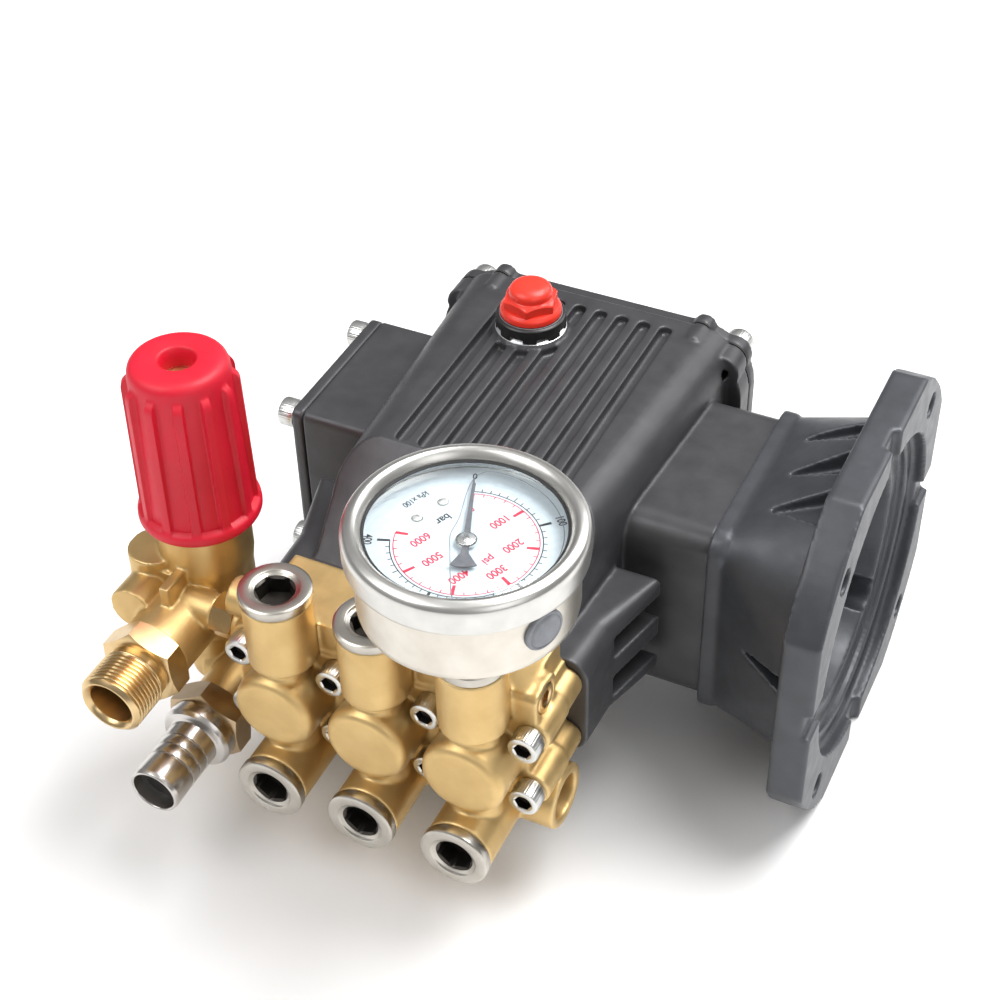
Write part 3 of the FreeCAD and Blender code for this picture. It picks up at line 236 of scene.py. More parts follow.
def cast_metal(name, dark, light, metallic, rough, grain, edge=None, edge_at=(0.52, 0.60)):
    """Blasted casting: mottled colour, sandy bump and brighter edges, partly rubbed wear and partly a
    painted highlight.
    """
    made, nodes, links, shader = new_material(name)
    cloud = noise(nodes, links, 90.0, 4.0)
    colour = blend_colour(nodes, links, cloud, dark, light)
    # Brighter colour mixed in on outward edges: rubbed wear and a painted highlight.
    if edge is not None:
        colour = mix_colour(nodes, links, edge_factor(nodes, links, *edge_at), colour, edge)
    links.new(colour, shader.inputs["Base Color"])
    shader.inputs["Metallic"].default_value = metallic
    fine = noise(nodes, links, 2600.0, 2.0)
    links.new(rescale(nodes, links, noise(nodes, links, 160.0), 0.3, 0.7, *rough),
              shader.inputs["Roughness"])
    first = bump(nodes, links, fine, shader, grain)
    bump(nodes, links, noise(nodes, links, 380.0, 3.0), shader, grain * 1.6, first)
    return made


def turned_metal(name, dark, light, rough, pitch=0.35, depth=0.004, axis=None):
    """Machined metal. With an axis it shows fine rings along that axis."""
    made, nodes, links, shader = new_material(name)
    colour = blend_colour(nodes, links, noise(nodes, links, 140.0, 4.0), dark, light)
    links.new(colour, shader.inputs["Base Color"])
    shader.inputs["Metallic"].default_value = 1.0
    shader.inputs["Roughness"].default_value = rough
    stretch = [1.0, 1.0, 1.0]
    if axis is not None:
        stretch = [0.04, 0.04, 0.04]
        stretch[axis] = 1.0
    lines = noise(nodes, links, 1000.0 / pitch, 2.0, stretch)
    bump(nodes, links, lines, shader, depth)
    return made


def moulded_plastic(name, dark, light, rough, coat, grain=0.006):
    made, nodes, links, shader = new_material(name)
    colour = blend_colour(nodes, links, noise(nodes, links, 60.0), dark, light)
    links.new(colour, shader.inputs["Base Color"])
    shader.inputs["Coat Weight"].default_value = coat
    shader.inputs["Coat Roughness"].default_value = 0.2
    links.new(rescale(nodes, links, noise(nodes, links, 240.0), 0.3, 0.7, rough, rough + 0.08),
              shader.inputs["Roughness"])
    bump(nodes, links, noise(nodes, links, 1500.0), shader, grain)
    return made


def rubber(name, dark, light):
    made, nodes, links, shader = new_material(name)
    colour = blend_colour(nodes, links, noise(nodes, links, 300.0), dark, light)
    links.new(colour, shader.inputs["Base Color"])
    shader.inputs["Roughness"].default_value = 0.62
    bump(nodes, links, noise(nodes, links, 1800.0), shader, 0.02)
    return made


def clear_glass(name, tint, bend):
    """Clear glass or liquid that bends what is seen through it and lets lamp light pass."""
    made, nodes, links, shader = new_material(name)
    out = next(n for n in nodes if n.type == "OUTPUT_MATERIAL")
    shader.inputs["Base Color"].default_value = (*tint, 1)
    shader.inputs["Transmission Weight"].default_value = 1.0
    shader.inputs["Roughness"].default_value = 0.0
    shader.inputs["IOR"].default_value = bend
    through = nodes.new("ShaderNodeBsdfTransparent")
    through.inputs["Color"].default_value = (*tint, 1)
    ray = nodes.new("ShaderNodeLightPath")
    mix = nodes.new("ShaderNodeMixShader")
    links.new(ray.outputs["Is Shadow Ray"], mix.inputs["Fac"])
    links.new(shader.outputs[0], mix.inputs[1])
    links.new(through.outputs[0], mix.inputs[2])
    links.new(mix.outputs[0], out.inputs["Surface"])
    return made


def enamel(name, dark, light, rough=0.35):
    made, nodes, links, shader = new_material(name)
    colour = blend_colour(nodes, links, noise(nodes, links, 500.0), dark, light)
    links.new(colour, shader.inputs["Base Color"])
    shader.inputs["Roughness"].default_value = rough
    bump(nodes, links, noise(nodes, links, 900.0), shader, 0.002)
    return made


def plain_floor():
    made, nodes, links, shader = new_material("pale_floor")
    colour = blend_colour(nodes, links, noise(nodes, links, 3.0), (0.93, 0.93, 0.93),
                          (0.95, 0.95, 0.95))
    links.new(colour, shader.inputs["Base Color"])
    shader.inputs["Roughness"].default_value = 0.8
    return made


# The last colour of each casting brightens its outward edges: rubbed wear and a painted highlight.
CASE_BLACK = cast_metal("case_black", (0.050, 0.050, 0.053), (0.068, 0.068, 0.073), 0.35,
                        (0.36, 0.46), 0.022, (0.11, 0.11, 0.115))
BELL_GREY = cast_metal("bell_grey", (0.052, 0.055, 0.062), (0.070, 0.074, 0.083), 0.35,
                       (0.36, 0.46), 0.022, (0.12, 0.125, 0.14))
BRASS_CAST = cast_metal("brass_cast", (0.61, 0.42, 0.18), (0.71, 0.51, 0.23), 0.9,
                        (0.42, 0.52), 0.022, (0.80, 0.62, 0.34))
BRASS_TURNED = turned_metal("brass_turned", (0.62, 0.44, 0.22), (0.72, 0.53, 0.28), 0.28, axis=1)
BRASS_UPRIGHT = turned_metal("brass_upright", (0.70, 0.48, 0.22), (0.80, 0.56, 0.27), 0.24, axis=2)
# Turned brass made darker for the inlet hexagon: painted shade on the same brass.
BRASS_PAINTED_SHADE = turned_metal("bronze", (0.40, 0.29, 0.17), (0.50, 0.37, 0.23), 0.30, axis=1)
ZINC = turned_metal("zinc_steel", (0.60, 0.60, 0.58), (0.70, 0.70, 0.68), 0.30, 0.5, 0.002)
# Near-black hexagon sockets of the caps and screws: painted shade in the recess.
SOCKET_SHADE = turned_metal("socket_painted_shade", (0.05, 0.045, 0.04), (0.10, 0.09, 0.08), 0.45, 0.5, 0.01)
NICKEL = turned_metal("nickel_steel", (0.46, 0.43, 0.38), (0.56, 0.53, 0.48), 0.30, 0.4, 0.003)
STAINLESS = turned_metal("stainless", (0.66, 0.66, 0.65), (0.78, 0.78, 0.77), 0.22, 0.3, 0.005, 2)
BARB_STEEL = turned_metal("barb_steel", (0.55, 0.52, 0.49), (0.64, 0.61, 0.58), 0.26, 0.3, 0.002, 1)
SHAFT_STEEL = turned_metal("shaft_steel", (0.45, 0.45, 0.46), (0.56, 0.56, 0.57), 0.26, axis=0)
ROD_ALLOY = turned_metal("rod_alloy", (0.55, 0.55, 0.56), (0.65, 0.65, 0.66), 0.4)
CERAMIC = enamel("ceramic", (0.86, 0.85, 0.81), (0.92, 0.91, 0.88), 0.12)
RED_PLASTIC = moulded_plastic("red_plastic", (0.60, 0.002, 0.020), (0.68, 0.003, 0.026), 0.48, 0.03)
ORANGE_PLASTIC = moulded_plastic("orange_plastic", (0.78, 0.030, 0.014), (0.86, 0.040, 0.018),
                                 0.36, 0.15)
BLACK_PLASTIC = moulded_plastic("black_plastic", (0.010, 0.010, 0.010), (0.018, 0.018, 0.018),
                                0.36, 0.2)
BLACK_RUBBER = rubber("black_rubber", (0.012, 0.012, 0.012), (0.022, 0.022, 0.022))
GREY_RUBBER = rubber("grey_rubber", (0.22, 0.23, 0.25), (0.28, 0.29, 0.31))
GLASS = clear_glass("clear_glass", (0.975, 0.985, 0.985), 1.46)
DIAL_WHITE = enamel("dial_white", (0.42, 0.48, 0.52), (0.46, 0.52, 0.56), 0.6)
INK_BLACK = enamel("ink_black", (0.012, 0.012, 0.014), (0.02, 0.02, 0.022))
INK_RED = enamel("ink_red", (0.46, 0.01, 0.04), (0.52, 0.015, 0.05))
BUBBLE_EDGE = enamel("bubble_edge", (0.16, 0.18, 0.20), (0.24, 0.26, 0.28), 0.2)
OIL_AMBER = moulded_plastic("oil_amber", (0.42, 0.20, 0.03), (0.50, 0.26, 0.05), 0.08, 1.0, 0.002)
BEZEL_STEEL = turned_metal("bezel_steel", (0.60, 0.59, 0.56), (0.68, 0.67, 0.64), 0.32, 0.3, 0.003, 2)
CASE_STEEL = turned_metal("case_steel", (0.62, 0.58, 0.51), (0.70, 0.66, 0.59), 0.36, 0.3, 0.003, 2)
BARE_ALLOY = turned_metal("bare_alloy", (0.62, 0.63, 0.64), (0.72, 0.73, 0.74), 0.34)
POINTER_GREY = enamel("pointer_grey", (0.10, 0.105, 0.12), (0.14, 0.145, 0.16), 0.3)
# Near-black material for the inside of bores: painted shade.
PAINTED_BORE_SHADE = enamel("painted_bore_shade", (0.006, 0.006, 0.006), (0.012, 0.012, 0.012), 0.6)

SLOT_MATERIAL = {
    "case_black": CASE_BLACK, "bell_grey": BELL_GREY, "brass_cast": BRASS_CAST,
    "brass_turned": BRASS_TURNED, "bronze": BRASS_PAINTED_SHADE, "zinc_steel": ZINC, "nickel_steel": NICKEL,
    "stainless": STAINLESS, "shaft_steel": SHAFT_STEEL, "rod_alloy": ROD_ALLOY,
    "ceramic": CERAMIC, "red_plastic": RED_PLASTIC, "orange_plastic": ORANGE_PLASTIC,
    "black_plastic": BLACK_PLASTIC, "black_rubber": BLACK_RUBBER, "grey_rubber": GREY_RUBBER,
    "clear_glass": GLASS, "dial_white": DIAL_WHITE, "pointer_black": INK_BLACK}


# ---------------------------------------------------------------- mesh helpers
def shade(mesh, angle=35.0):
    """Smooth shading that keeps edges sharper than the angle."""
    mesh.shade_smooth()
    mesh.set_sharp_from_angle(angle=math.radians(angle))


def finish_piece(obj, body, material, replaced=(), second=None):
    """Gives a piece its material and body, and hides the CAD nodes that it stands for.

    Faces that were marked for a second material keep it.
    """
    if len(obj.data.materials):
        obj.data.materials.clear()
    obj.data.materials.append(material)
    if second is not None:
        obj.data.materials.append(second)
    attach(obj, body)
    if replaced:
        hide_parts(*replaced)
    return obj


def new_object(name, mesh):
    obj = bpy.data.objects.new(name, mesh)
    bpy.context.scene.collection.objects.link(obj)
    return obj


def frame_about(centre, axis, turn=0.0):
    """Matrix from a local frame, whose Z is the axis, to the part frame; centre in millimetres."""
    spin = Matrix.Rotation(math.radians(turn), 4, "Z")
    lean = Vector((0, 0, 1)).rotation_difference(Vector(axis)).to_matrix().to_4x4()
    return Matrix.Translation(Vector(centre) * MM) @ lean @ spin


def polar(rings, centre, axis, steps=96, closed=False, turn=0.0, second_rows=0):
    """Mesh data of a skin through rings about an axis, from (radius, height) pairs.

    Radius and height may be functions of the angle, so a ring can be a hexagon or a thread.
    The first second_rows rows of faces are marked for the piece's second material.
    """
    angles = np.arange(steps) * TAU / steps
    points = []
    for radius, height in rings:
        r = radius(angles) if callable(radius) else np.full(steps, float(radius))
        h = height(angles) if callable(height) else np.full(steps, float(height))
        points.append(np.column_stack([r * np.cos(angles), r * np.sin(angles), h]) * MM)
    count = len(rings)
    faces = []
    for row in range(count if closed else count - 1):
        below, above = row * steps, (row + 1) % count * steps
        faces += [(below + k, below + (k + 1) % steps, above + (k + 1) % steps, above + k)
                  for k in range(steps)]
    mesh = bpy.data.meshes.new("polar")
    mesh.from_pydata(np.vstack(points).tolist(), [], faces)
    for face in mesh.polygons[:second_rows * steps]:
        face.material_index = 1
    mesh.transform(frame_about(centre, axis, turn))
    return mesh


def merged(name, meshes):
    """One object from several meshes, with doubled points joined and normals outward."""
    bm = bmesh.new()
    for mesh in meshes:
        bm.from_mesh(mesh)
        bpy.data.meshes.remove(mesh)
    bmesh.ops.remove_doubles(bm, verts=bm.verts, dist=2e-6)
    bmesh.ops.dissolve_degenerate(bm, edges=bm.edges, dist=1e-7)
    bmesh.ops.recalc_face_normals(bm, faces=bm.faces)
    joined = bpy.data.meshes.new(name)
    bm.to_mesh(joined)
    bm.free()
    shade(joined)
    return new_object(name, joined)


def eased(points, radius, parts=3):
    """Outline with its inner corners turned into small arcs, of one radius or one per corner."""
    if not hasattr(radius, "__len__"):
        radius = [radius] * len(points)
    made = [points[0]]
    for before, corner, after, r in zip(points, points[1:], points[2:], radius[1:-1]):
        a, b, c = (np.array(p, float) for p in (before, corner, after))
        to_a, to_c = a - b, c - b
        la, lc = np.linalg.norm(to_a), np.linalg.norm(to_c)
        cut = min(r, la * 0.45, lc * 0.45)
        if cut < 1e-3:
            made.append(corner)
            continue
        p, q = b + to_a / la * cut, b + to_c / lc * cut
        for k in range(parts + 1):
            t = k / parts
            made.append(tuple((1 - t) ** 2 * p + 2 * t * (1 - t) * b + t * t * q))
    made.append(points[-1])
    return made


def closed_eased(points, radius, parts=3):
    """Closed outline with every corner eased."""
    ring = eased([points[-1]] + list(points) + [points[0]], radius, parts)
    return ring[1:-1]


def hexed(flats, corner=None):
    """Radius of a hexagon by angle, with its corners turned down to a radius if one is given."""
    def radius(angles):
        within = (angles + math.pi / 6) % (math.pi / 3) - math.pi / 6
        r = flats / 2 / np.cos(within)
        return r if corner is None else np.minimum(r, corner)
    return radius


def nut_rings(flats, height, bore, chamfer_r, ease=0.15):
    """Rings of a hexagon nut with turned chamfers at both ends and a bore."""
    side = hexed(flats, flats * 0.5765)
    slope = math.tan(math.radians(30))

    def low(angles):
        return np.maximum(side(angles) - chamfer_r, 0) * slope + ease * 0.4

    def high(angles):
        return height - low(angles)

    return [(bore, ease), (bore + ease, 0), (chamfer_r - 0.3, 0), (side, low), (side, high),
            (chamfer_r - 0.3, height), (bore + ease, height), (bore, height - ease)]


def socket_head_rings(head_r, head_h, flats, knurls):
    """Rings of a socket cap screw's head above its seat, knurled on its side."""
    def knurl(angles):
        wave = np.abs((angles * knurls / TAU) % 1.0 - 0.5) * 2
        return head_r - 0.13 * (1 - wave)
    hexagon = hexed(flats)
    top = head_h
    deep = head_h - flats * 0.55
    mouth = flats / 2 / math.cos(math.pi / 6) + 0.15
    return [(0, deep - 0.8), (hexagon, deep), (hexagon, top - 0.35), (mouth, top - 0.02),
            (mouth + 0.15, top), (head_r - 0.75, top), (head_r - 0.3, top - 0.22),
            (knurl, top - 0.75), (knurl, 1.1), (head_r - 0.16, 0.8), (head_r - 0.16, 0.25),
            (head_r - 0.35, 0.05), (head_r - 0.4, 0.0), (0, 0.0)]


def copy_of(node):
    """A welded copy of a CAD node's mesh, for a piece that refines its shape."""
    bm = bmesh.new()
    bm.from_mesh(frame["nodes"][node].data)
    bmesh.ops.remove_doubles(bm, verts=bm.verts, dist=1e-6)
    mesh = bpy.data.meshes.new(node + "_copy")
    bm.to_mesh(mesh)
    bm.free()
    return mesh


def with_modifiers(obj, angle=None):
    """Replaces the object's mesh by the result of its modifiers."""
    graph = bpy.context.evaluated_depsgraph_get()
    made = bpy.data.meshes.new_from_object(obj.evaluated_get(graph))
    old = obj.data
    obj.modifiers.clear()
    obj.data = made
    bpy.data.meshes.remove(old)
    if angle is None:
        made.shade_smooth()
    else:
        shade(made, angle)


def casting(name, nodes, voxel, passes, keep, body, material, extra=()):
    """Cast-looking piece: CAD nodes and extra lumps are fused, and their edges rounded off."""
    bm = bmesh.new()
    for mesh in [copy_of(node) for node in nodes] + list(extra):
        bm.from_mesh(mesh)
        bpy.data.meshes.remove(mesh)
    mesh = bpy.data.meshes.new(name)
    bm.to_mesh(mesh)
    bm.free()
    obj = new_object(name, mesh)
    fuse = obj.modifiers.new("fuse", "REMESH")
    fuse.mode = "VOXEL"
    fuse.voxel_size = voxel * MM
    fuse.adaptivity = 0.0
    round_off = obj.modifiers.new("round", "SMOOTH")
    round_off.factor = 0.5
    round_off.iterations = passes
    thin = obj.modifiers.new("thin", "DECIMATE")
    thin.ratio = keep
    with_modifiers(obj)
    return finish_piece(obj, body, material, nodes)


# ---------------------------------------------------------------- castings
def make_castings():
    casting("crankcase_casting", ["crankcase"], 0.6, 3, 0.3, "root", CASE_BLACK)
    casting("rear_cover_casting", ["rear_cover"], 0.8, 4, 0.35, "root", CASE_BLACK)
    casting("side_cover_casting", ["side_cover"], 0.7, 3, 0.35, "root", CASE_BLACK)
    casting("bell_casting", ["engine_flange"], 0.8, 3, 0.35, "root", BELL_GREY)
    casting("head_casting", ["manifold"], 0.6, 7, 0.4, "root", BRASS_CAST)
    casting("unloader_casting", ["unloader_body"], 0.5, 8, 0.4, "root", BRASS_CAST)
    casting("elbow_casting", ["inlet_elbow"], 0.5, 6, 0.4, "root", BRASS_CAST)


# ---------------------------------------------------------------- knob
KNOB_RIBS = 12


def make_knob():
    low, high, middle = box_mm("unloader_knob")
    height = high[2] - low[2]
    place = (middle[0], middle[1], low[2])
    top = height

    def valley(h):
        return 17.6 - 1.9 * h / top

    def ribbed(h, share):
        crest = 18.9 - 1.0 * h / top

        def radius(angles):
            pitch = TAU / KNOB_RIBS
            off = np.abs((angles + pitch / 2) % pitch - pitch / 2) * 18.0
            wide = np.clip((2.0 - off) / 0.75, 0, 1)
            shape = wide * wide * (3 - 2 * wide)
            return valley(h) + (crest - valley(h)) * shape * share
        return radius

    rings = [(16.2, 6.0), (16.2, 0.6), (16.6, 0.15), (17.4, 0.0), (18.9, 0.0), (19.55, 0.25),
             (19.85, 0.8), (19.9, 1.6), (19.8, 3.0), (19.3, 3.9), (ribbed(4.6, 1.0), 4.6)]
    rings += [(ribbed(h, 1.0), h) for h in np.linspace(5.4, top - 9.5, 14)]
    for h, share in ((8.6, 0.97), (7.7, 0.88), (6.9, 0.70), (6.2, 0.42), (5.7, 0.15), (5.3, 0.0)):
        rings.append((ribbed(top - h, share), top - h))
    rings += [(15.75, top - 4.2), (15.6, top - 3.0), (15.25, top - 1.9), (14.6, top - 1.0),
              (13.7, top - 0.35), (12.6, top - 0.05), (11.5, top), (6.6, top), (6.1, top - 0.15),
              (5.7, top - 0.7), (5.2, top - 2.4), (4.9, top - 4.0), (4.85, top - 7.5),
              (3.0, top - 7.6), (0, top - 7.6)]
    knob = merged("knob", [polar(rings, place, (0, 0, 1), 432)])
    shade(knob.data, 50)
    finish_piece(knob, "knob", RED_PLASTIC, ["unloader_knob"])
    stem = [(0, top - 7.2), (1.6, top - 7.0), (1.9, top - 6.2), (3.2, top - 6.0),
            (3.6, top - 6.4), (3.7, top - 8.4)]
    tip = merged("knob_stem_tip", [polar(stem[::-1], place, (0, 0, 1), 48)])
    finish_piece(tip, "knob", BRASS_UPRIGHT)


# ---------------------------------------------------------------- outlet, inlet
def make_outlet():
    low, high, middle = box_mm("outlet_nipple")
    x, z = middle[0], middle[2]
    shoulder = 9.0
    full = high[1] - low[1]
    thread_r, root_r, bore, pitch = 11.0, 10.15, 7.5, 1.5
    start = shoulder + 2.2
    end = full - 1.0

    def thread(h):
        fade = min(1.0, max(0.0, (h - start) / 1.2))

        def radius(angles):
            phase = (h / pitch - angles / TAU) % 1.0
            crest = np.clip(1.35 - np.abs(phase - 0.5) * 3.4, 0, 1)
            r = root_r + (thread_r - root_r) * crest
            r = root_r * (1 - fade) + r * fade if h < start + 1.2 else r
            return np.minimum(r, thread_r - max(0.0, (h - (full - 1.6))) * 1.0)
        return radius

    rings = [(root_r, shoulder - 0.2), (root_r, start)]
    rings += [(thread(h), h) for h in np.arange(start + 0.125, end, 0.125)]
    rings += [(9.5, full - 0.12), (9.3, full), (bore + 1.5, full), (bore + 1.3, full - 0.08),
              (bore + 0.1, full - 1.5), (bore, full - 1.8), (bore, shoulder - 0.2)]
    nut = nut_rings(25.0, shoulder, bore, 12.3)
    place = (x, high[1], z)
    obj = merged("outlet_thread", [polar(rings, place, (0, -1, 0), 96, True),
                                   polar(nut, place, (0, -1, 0), 96, True, 8.0)])
    finish_piece(obj, "root", BRASS_TURNED, ["outlet_nipple"])


def make_barb():
    low, high, middle = box_mm("hose_barb")
    full = high[1] - low[1]
    r, bore = 8.7, 7.4
    outline = [(bore, 0.3), (bore + 0.3, 0), (12.2, 0), (12.2, 4.2), (11.2, 5.6), (9.6, 6.0),
               (r, 6.3)]
    for groove in (11.4, 15.6, 19.8):
        outline += [(r, groove), (r - 0.65, groove + 0.08), (r - 0.65, groove + 0.42),
                    (r - 0.12, groove + 0.5)]
    outline += [(r, full - 1.6), (r - 0.35, full - 0.25), (r - 0.8, full), (bore + 0.3, full),
                (bore, full - 0.3)]
    place = (middle[0], high[1], middle[2])
    obj = merged("hose_barb_steel", [polar(closed_eased(outline, 0.1, 2), place, (0, -1, 0), 96,
                                           True)])
    finish_piece(obj, "root", BARB_STEEL, ["hose_barb"])
    # Near-black disc deep in the barb's bore: painted shade.
    plug = merged("barb_inner_shade", [polar([(bore - 0.05, full - 6.0), (0, full - 6.0)], place,
                                             (0, -1, 0), 48)])
    finish_piece(plug, "root", PAINTED_BORE_SHADE)


def make_nuts():
    low, high, middle = box_mm("inlet_nut")
    obj = merged("inlet_hexagon", [polar(nut_rings(25.0, high[1] - low[1], 7.0, 12.3),
                                         (middle[0], high[1], middle[2]), (0, -1, 0), 96, True)])
    # The inlet hexagon's darker brass is painted shade.
    finish_piece(obj, "root", BRASS_PAINTED_SHADE, ["inlet_nut"])
    low, high, middle = box_mm("unloader_nut")
    obj = merged("unloader_hexagon", [polar(nut_rings(13.0, high[0] - low[0], 3.5, 6.3),
                                            (low[0], middle[1], middle[2]), (1, 0, 0), 96, True)])
    finish_piece(obj, "root", BRASS_UPRIGHT, ["unloader_nut"])


# ---------------------------------------------------------------- caps and screws
def cap_rings(radius=11.4, thick=4.0, flats=10.7):
    """Rings of a valve cap above its seat, with a dished face and a hexagon socket."""
    hexagon = hexed(flats)
    mouth = flats / 2 / math.cos(math.pi / 6)
    return [(0, thick - 7.6), (hexagon, thick - 7.0), (hexagon, thick - 1.6),
            (mouth + 0.1, thick - 0.95), (mouth + 0.5, thick - 0.75), (7.3, thick - 0.5),
            (7.5, thick - 0.35), (7.7, thick - 0.08), (7.9, thick), (radius - 1.0, thick),
            (radius - 0.45, thick - 0.15), (radius - 0.08, thick - 0.5), (radius, thick - 1.0),
            (radius, 0.9), (radius - 0.15, 0.6), (radius - 0.7, 0.45), (radius - 0.8, 0.0),
            (8.9, -0.05), (8.9, -8.0), (0, -8.0)]


def solid_boxes(node):
    """Box of each separate solid of a CAD node, in millimetres, as (low, high) pairs."""
    bm = bmesh.new()
    bm.from_mesh(frame["nodes"][node].data)
    bmesh.ops.remove_doubles(bm, verts=bm.verts, dist=1e-6)
    left = set(bm.verts)
    boxes = []
    while left:
        queue = [left.pop()]
        group = []
        while queue:
            vert = queue.pop()
            group.append(vert.co / MM)
            for edge in vert.link_edges:
                other = edge.other_vert(vert)
                if other in left:
                    left.discard(other)
                    queue.append(other)
        cloud = np.array(group)
        boxes.append((cloud.min(0), cloud.max(0)))
    bm.free()
    return sorted(boxes, key=lambda b: tuple(np.round(b[0], 2)))


def make_caps():
    meshes = []
    for low, high in solid_boxes("valve_caps"):
        middle = (low + high) / 2
        if high[2] > 30:
            meshes.append(polar(cap_rings(), (middle[0], middle[1], high[2] - 4.0), (0, 0, 1), 96,
                                turn=20 * middle[0], second_rows=3))
        else:
            meshes.append(polar(cap_rings(), (middle[0], low[1] + 4.0, middle[2]), (0, -1, 0), 96,
                                turn=11 * middle[0], second_rows=3))
    obj = merged("valve_caps_nickel", meshes)
    # The socket faces take the dark second material, painted shade.
    finish_piece(obj, "root", NICKEL, ["valve_caps"], SOCKET_SHADE)


def make_screws(name, node, head_r, head_h, flats, axis_of):
    """Socket cap screws of a CAD node; axis_of says which way a head points, from its box."""
    steps, knurls = 144, 36
    meshes = []
    for low, high in solid_boxes(node):
        axis = np.array(axis_of(low, high), float)
        middle = (low + high) / 2
        tip = np.where(axis > 0, high, np.where(axis < 0, low, middle))
        rings = socket_head_rings(head_r, head_h, flats, knurls)
        meshes.append(polar(rings, tip - axis * head_h, axis, steps, turn=float(37 * middle[0]),
                            second_rows=2))
    obj = merged(name, meshes)
    # The socket faces take the dark second material, painted shade.
    return finish_piece(obj, "root", ZINC, [node], SOCKET_SHADE)


def make_all_screws():
    make_screws("head_screws", "manifold_screws", 5.0, 6.5, 5.0, lambda low, high: (0, -1, 0))
    make_screws("casing_screws", "cover_screws", 5.0, 6.0, 4.0,
                lambda low, high: (0, 1, 0) if high[1] > 50 else (-1, 0, 0))
    make_screws("bell_screws", "flange_screws", 5.5, 6.0, 5.0, lambda low, high: (1, 0, 0))


# ---------------------------------------------------------------- gauge
ZERO_ANGLE = 111.0           # direction of the zero mark, from +X towards +Y
DIAL_UP = ZERO_ANGLE - 135.0
BAR_STEP = -0.675            # degrees for each bar
PSI_IN_BAR = 0.0689476
BAR_RING = 20.2
PSI_RING = 19.3
PRINT_LIFT = 0.03


def on_dial(radius, angle):
    """Point on the dial face, from the gauge axis, at an angle from +X."""
    _, high, middle = box_mm("gauge_dial")
    turn = math.radians(angle)
    return (middle[0] + radius * math.cos(turn), middle[1] + radius * math.sin(turn),
            high[2] + PRINT_LIFT)


def printed_text(words, height, radius, angle, up, squeeze=0.8):
    """Flat lettering on the dial, centred at a radius and angle; up is where its tops point."""
    curve = bpy.data.curves.new("print", "FONT")
    curve.body = words
    curve.align_x = "CENTER"
    curve.align_y = "CENTER"
    curve.size = height * 1.55 * MM
    curve.offset = height * 0.035 * MM
    holder = new_object("print", curve)
    bpy.context.view_layer.update()
    graph = bpy.context.evaluated_depsgraph_get()
    mesh = bpy.data.meshes.new_from_object(holder.evaluated_get(graph))
    bpy.data.objects.remove(holder)
    place = Matrix.Translation(Vector(on_dial(radius, angle)) * MM)
    mesh.transform(place @ Matrix.Rotation(math.radians(up - 90), 4, "Z")
                   @ Matrix.Diagonal((squeeze, 1, 1, 1)))
    return mesh


def printed_ring(radius, width, start, end, steps=120):
    """Thin arc on the dial from one angle to another."""
    points = []
    for k in range(steps + 1):
        angle = start + (end - start) * k / steps
        points.append(on_dial(radius - width / 2, angle))
        points.append(on_dial(radius + width / 2, angle))
    faces = [(2 * k, 2 * k + 1, 2 * k + 3, 2 * k + 2) for k in range(steps)]
    mesh = bpy.data.meshes.new("arc")
    mesh.from_pydata([Vector(p) * MM for p in points], [], faces)
    return mesh


def printed_tick(angle, inner, outer, width):
    """Radial mark on the dial."""
    half = math.degrees(width / 2 / ((inner + outer) / 2))
    corners = [on_dial(inner, angle - half), on_dial(outer, angle - half),
               on_dial(outer, angle + half), on_dial(inner, angle + half)]
    mesh = bpy.data.meshes.new("tick")
    mesh.from_pydata([Vector(p) * MM for p in corners], [], [(0, 1, 2, 3)])
    return mesh


def flat_print(name, meshes, material):
    """One object from several flat meshes of the dial's print."""
    bm = bmesh.new()
    for mesh in meshes:
        bm.from_mesh(mesh)
        bpy.data.meshes.remove(mesh)
    joined = bpy.data.meshes.new(name)
    bm.to_mesh(joined)
    bm.free()
    return finish_piece(new_object(name, joined), "root", material)


def make_bar_print():
    """Outer scale in bar, with its numbers standing along the radius."""
    end = ZERO_ANGLE + BAR_STEP * 400
    meshes = [printed_ring(BAR_RING, 0.30, ZERO_ANGLE, end)]
    for bar in range(0, 401, 10):
        angle = ZERO_ANGLE + BAR_STEP * bar
        if bar % 100 == 0:
            meshes.append(printed_tick(angle, BAR_RING, 23.6, 0.85))
        else:
            meshes.append(printed_tick(angle, BAR_RING, 21.8 if bar % 50 == 0 else 21.3, 0.28))
    for bar in (0, 100, 200, 300, 400):
        angle = ZERO_ANGLE + BAR_STEP * bar
        up = angle + 180 if bar > 250 else angle
        meshes.append(printed_text(str(bar), 2.1, 26.2, angle, up))
    meshes.append(printed_text("bar", 2.3, 11.4, 149, DIAL_UP, 0.95))
    meshes.append(printed_text("kPa x100", 1.8, 22.3, 154, DIAL_UP))
    flat_print("bar_print", meshes, INK_BLACK)


def make_psi_print():
    """Inner scale in psi, with its numbers level with the dial."""
    full = ZERO_ANGLE + BAR_STEP * 6000 * PSI_IN_BAR
    meshes = [printed_ring(PSI_RING, 0.28, ZERO_ANGLE, full)]
    for psi in range(0, 6001, 200):
        angle = ZERO_ANGLE + BAR_STEP * psi * PSI_IN_BAR
        if psi % 1000 == 0:
            meshes.append(printed_tick(angle, 15.9, PSI_RING, 0.95))
        else:
            meshes.append(printed_tick(angle, 18.2, PSI_RING, 0.28))
    for psi, radius, shift in ((1000, 11.9, 4), (2000, 12.2, 2), (3000, 13.4, 0), (4000, 12.6, 2),
                               (5000, 10.6, 0), (6000, 12.3, 6)):
        angle = ZERO_ANGLE + BAR_STEP * psi * PSI_IN_BAR + shift
        meshes.append(printed_text(str(psi), 2.3, radius, angle, DIAL_UP, 0.85))
    meshes.append(printed_text("0", 2.0, 13.4, ZERO_ANGLE, DIAL_UP))
    meshes.append(printed_text("psi", 2.2, 8.6, -22, DIAL_UP, 0.95))
    flat_print("psi_print", meshes, INK_RED)


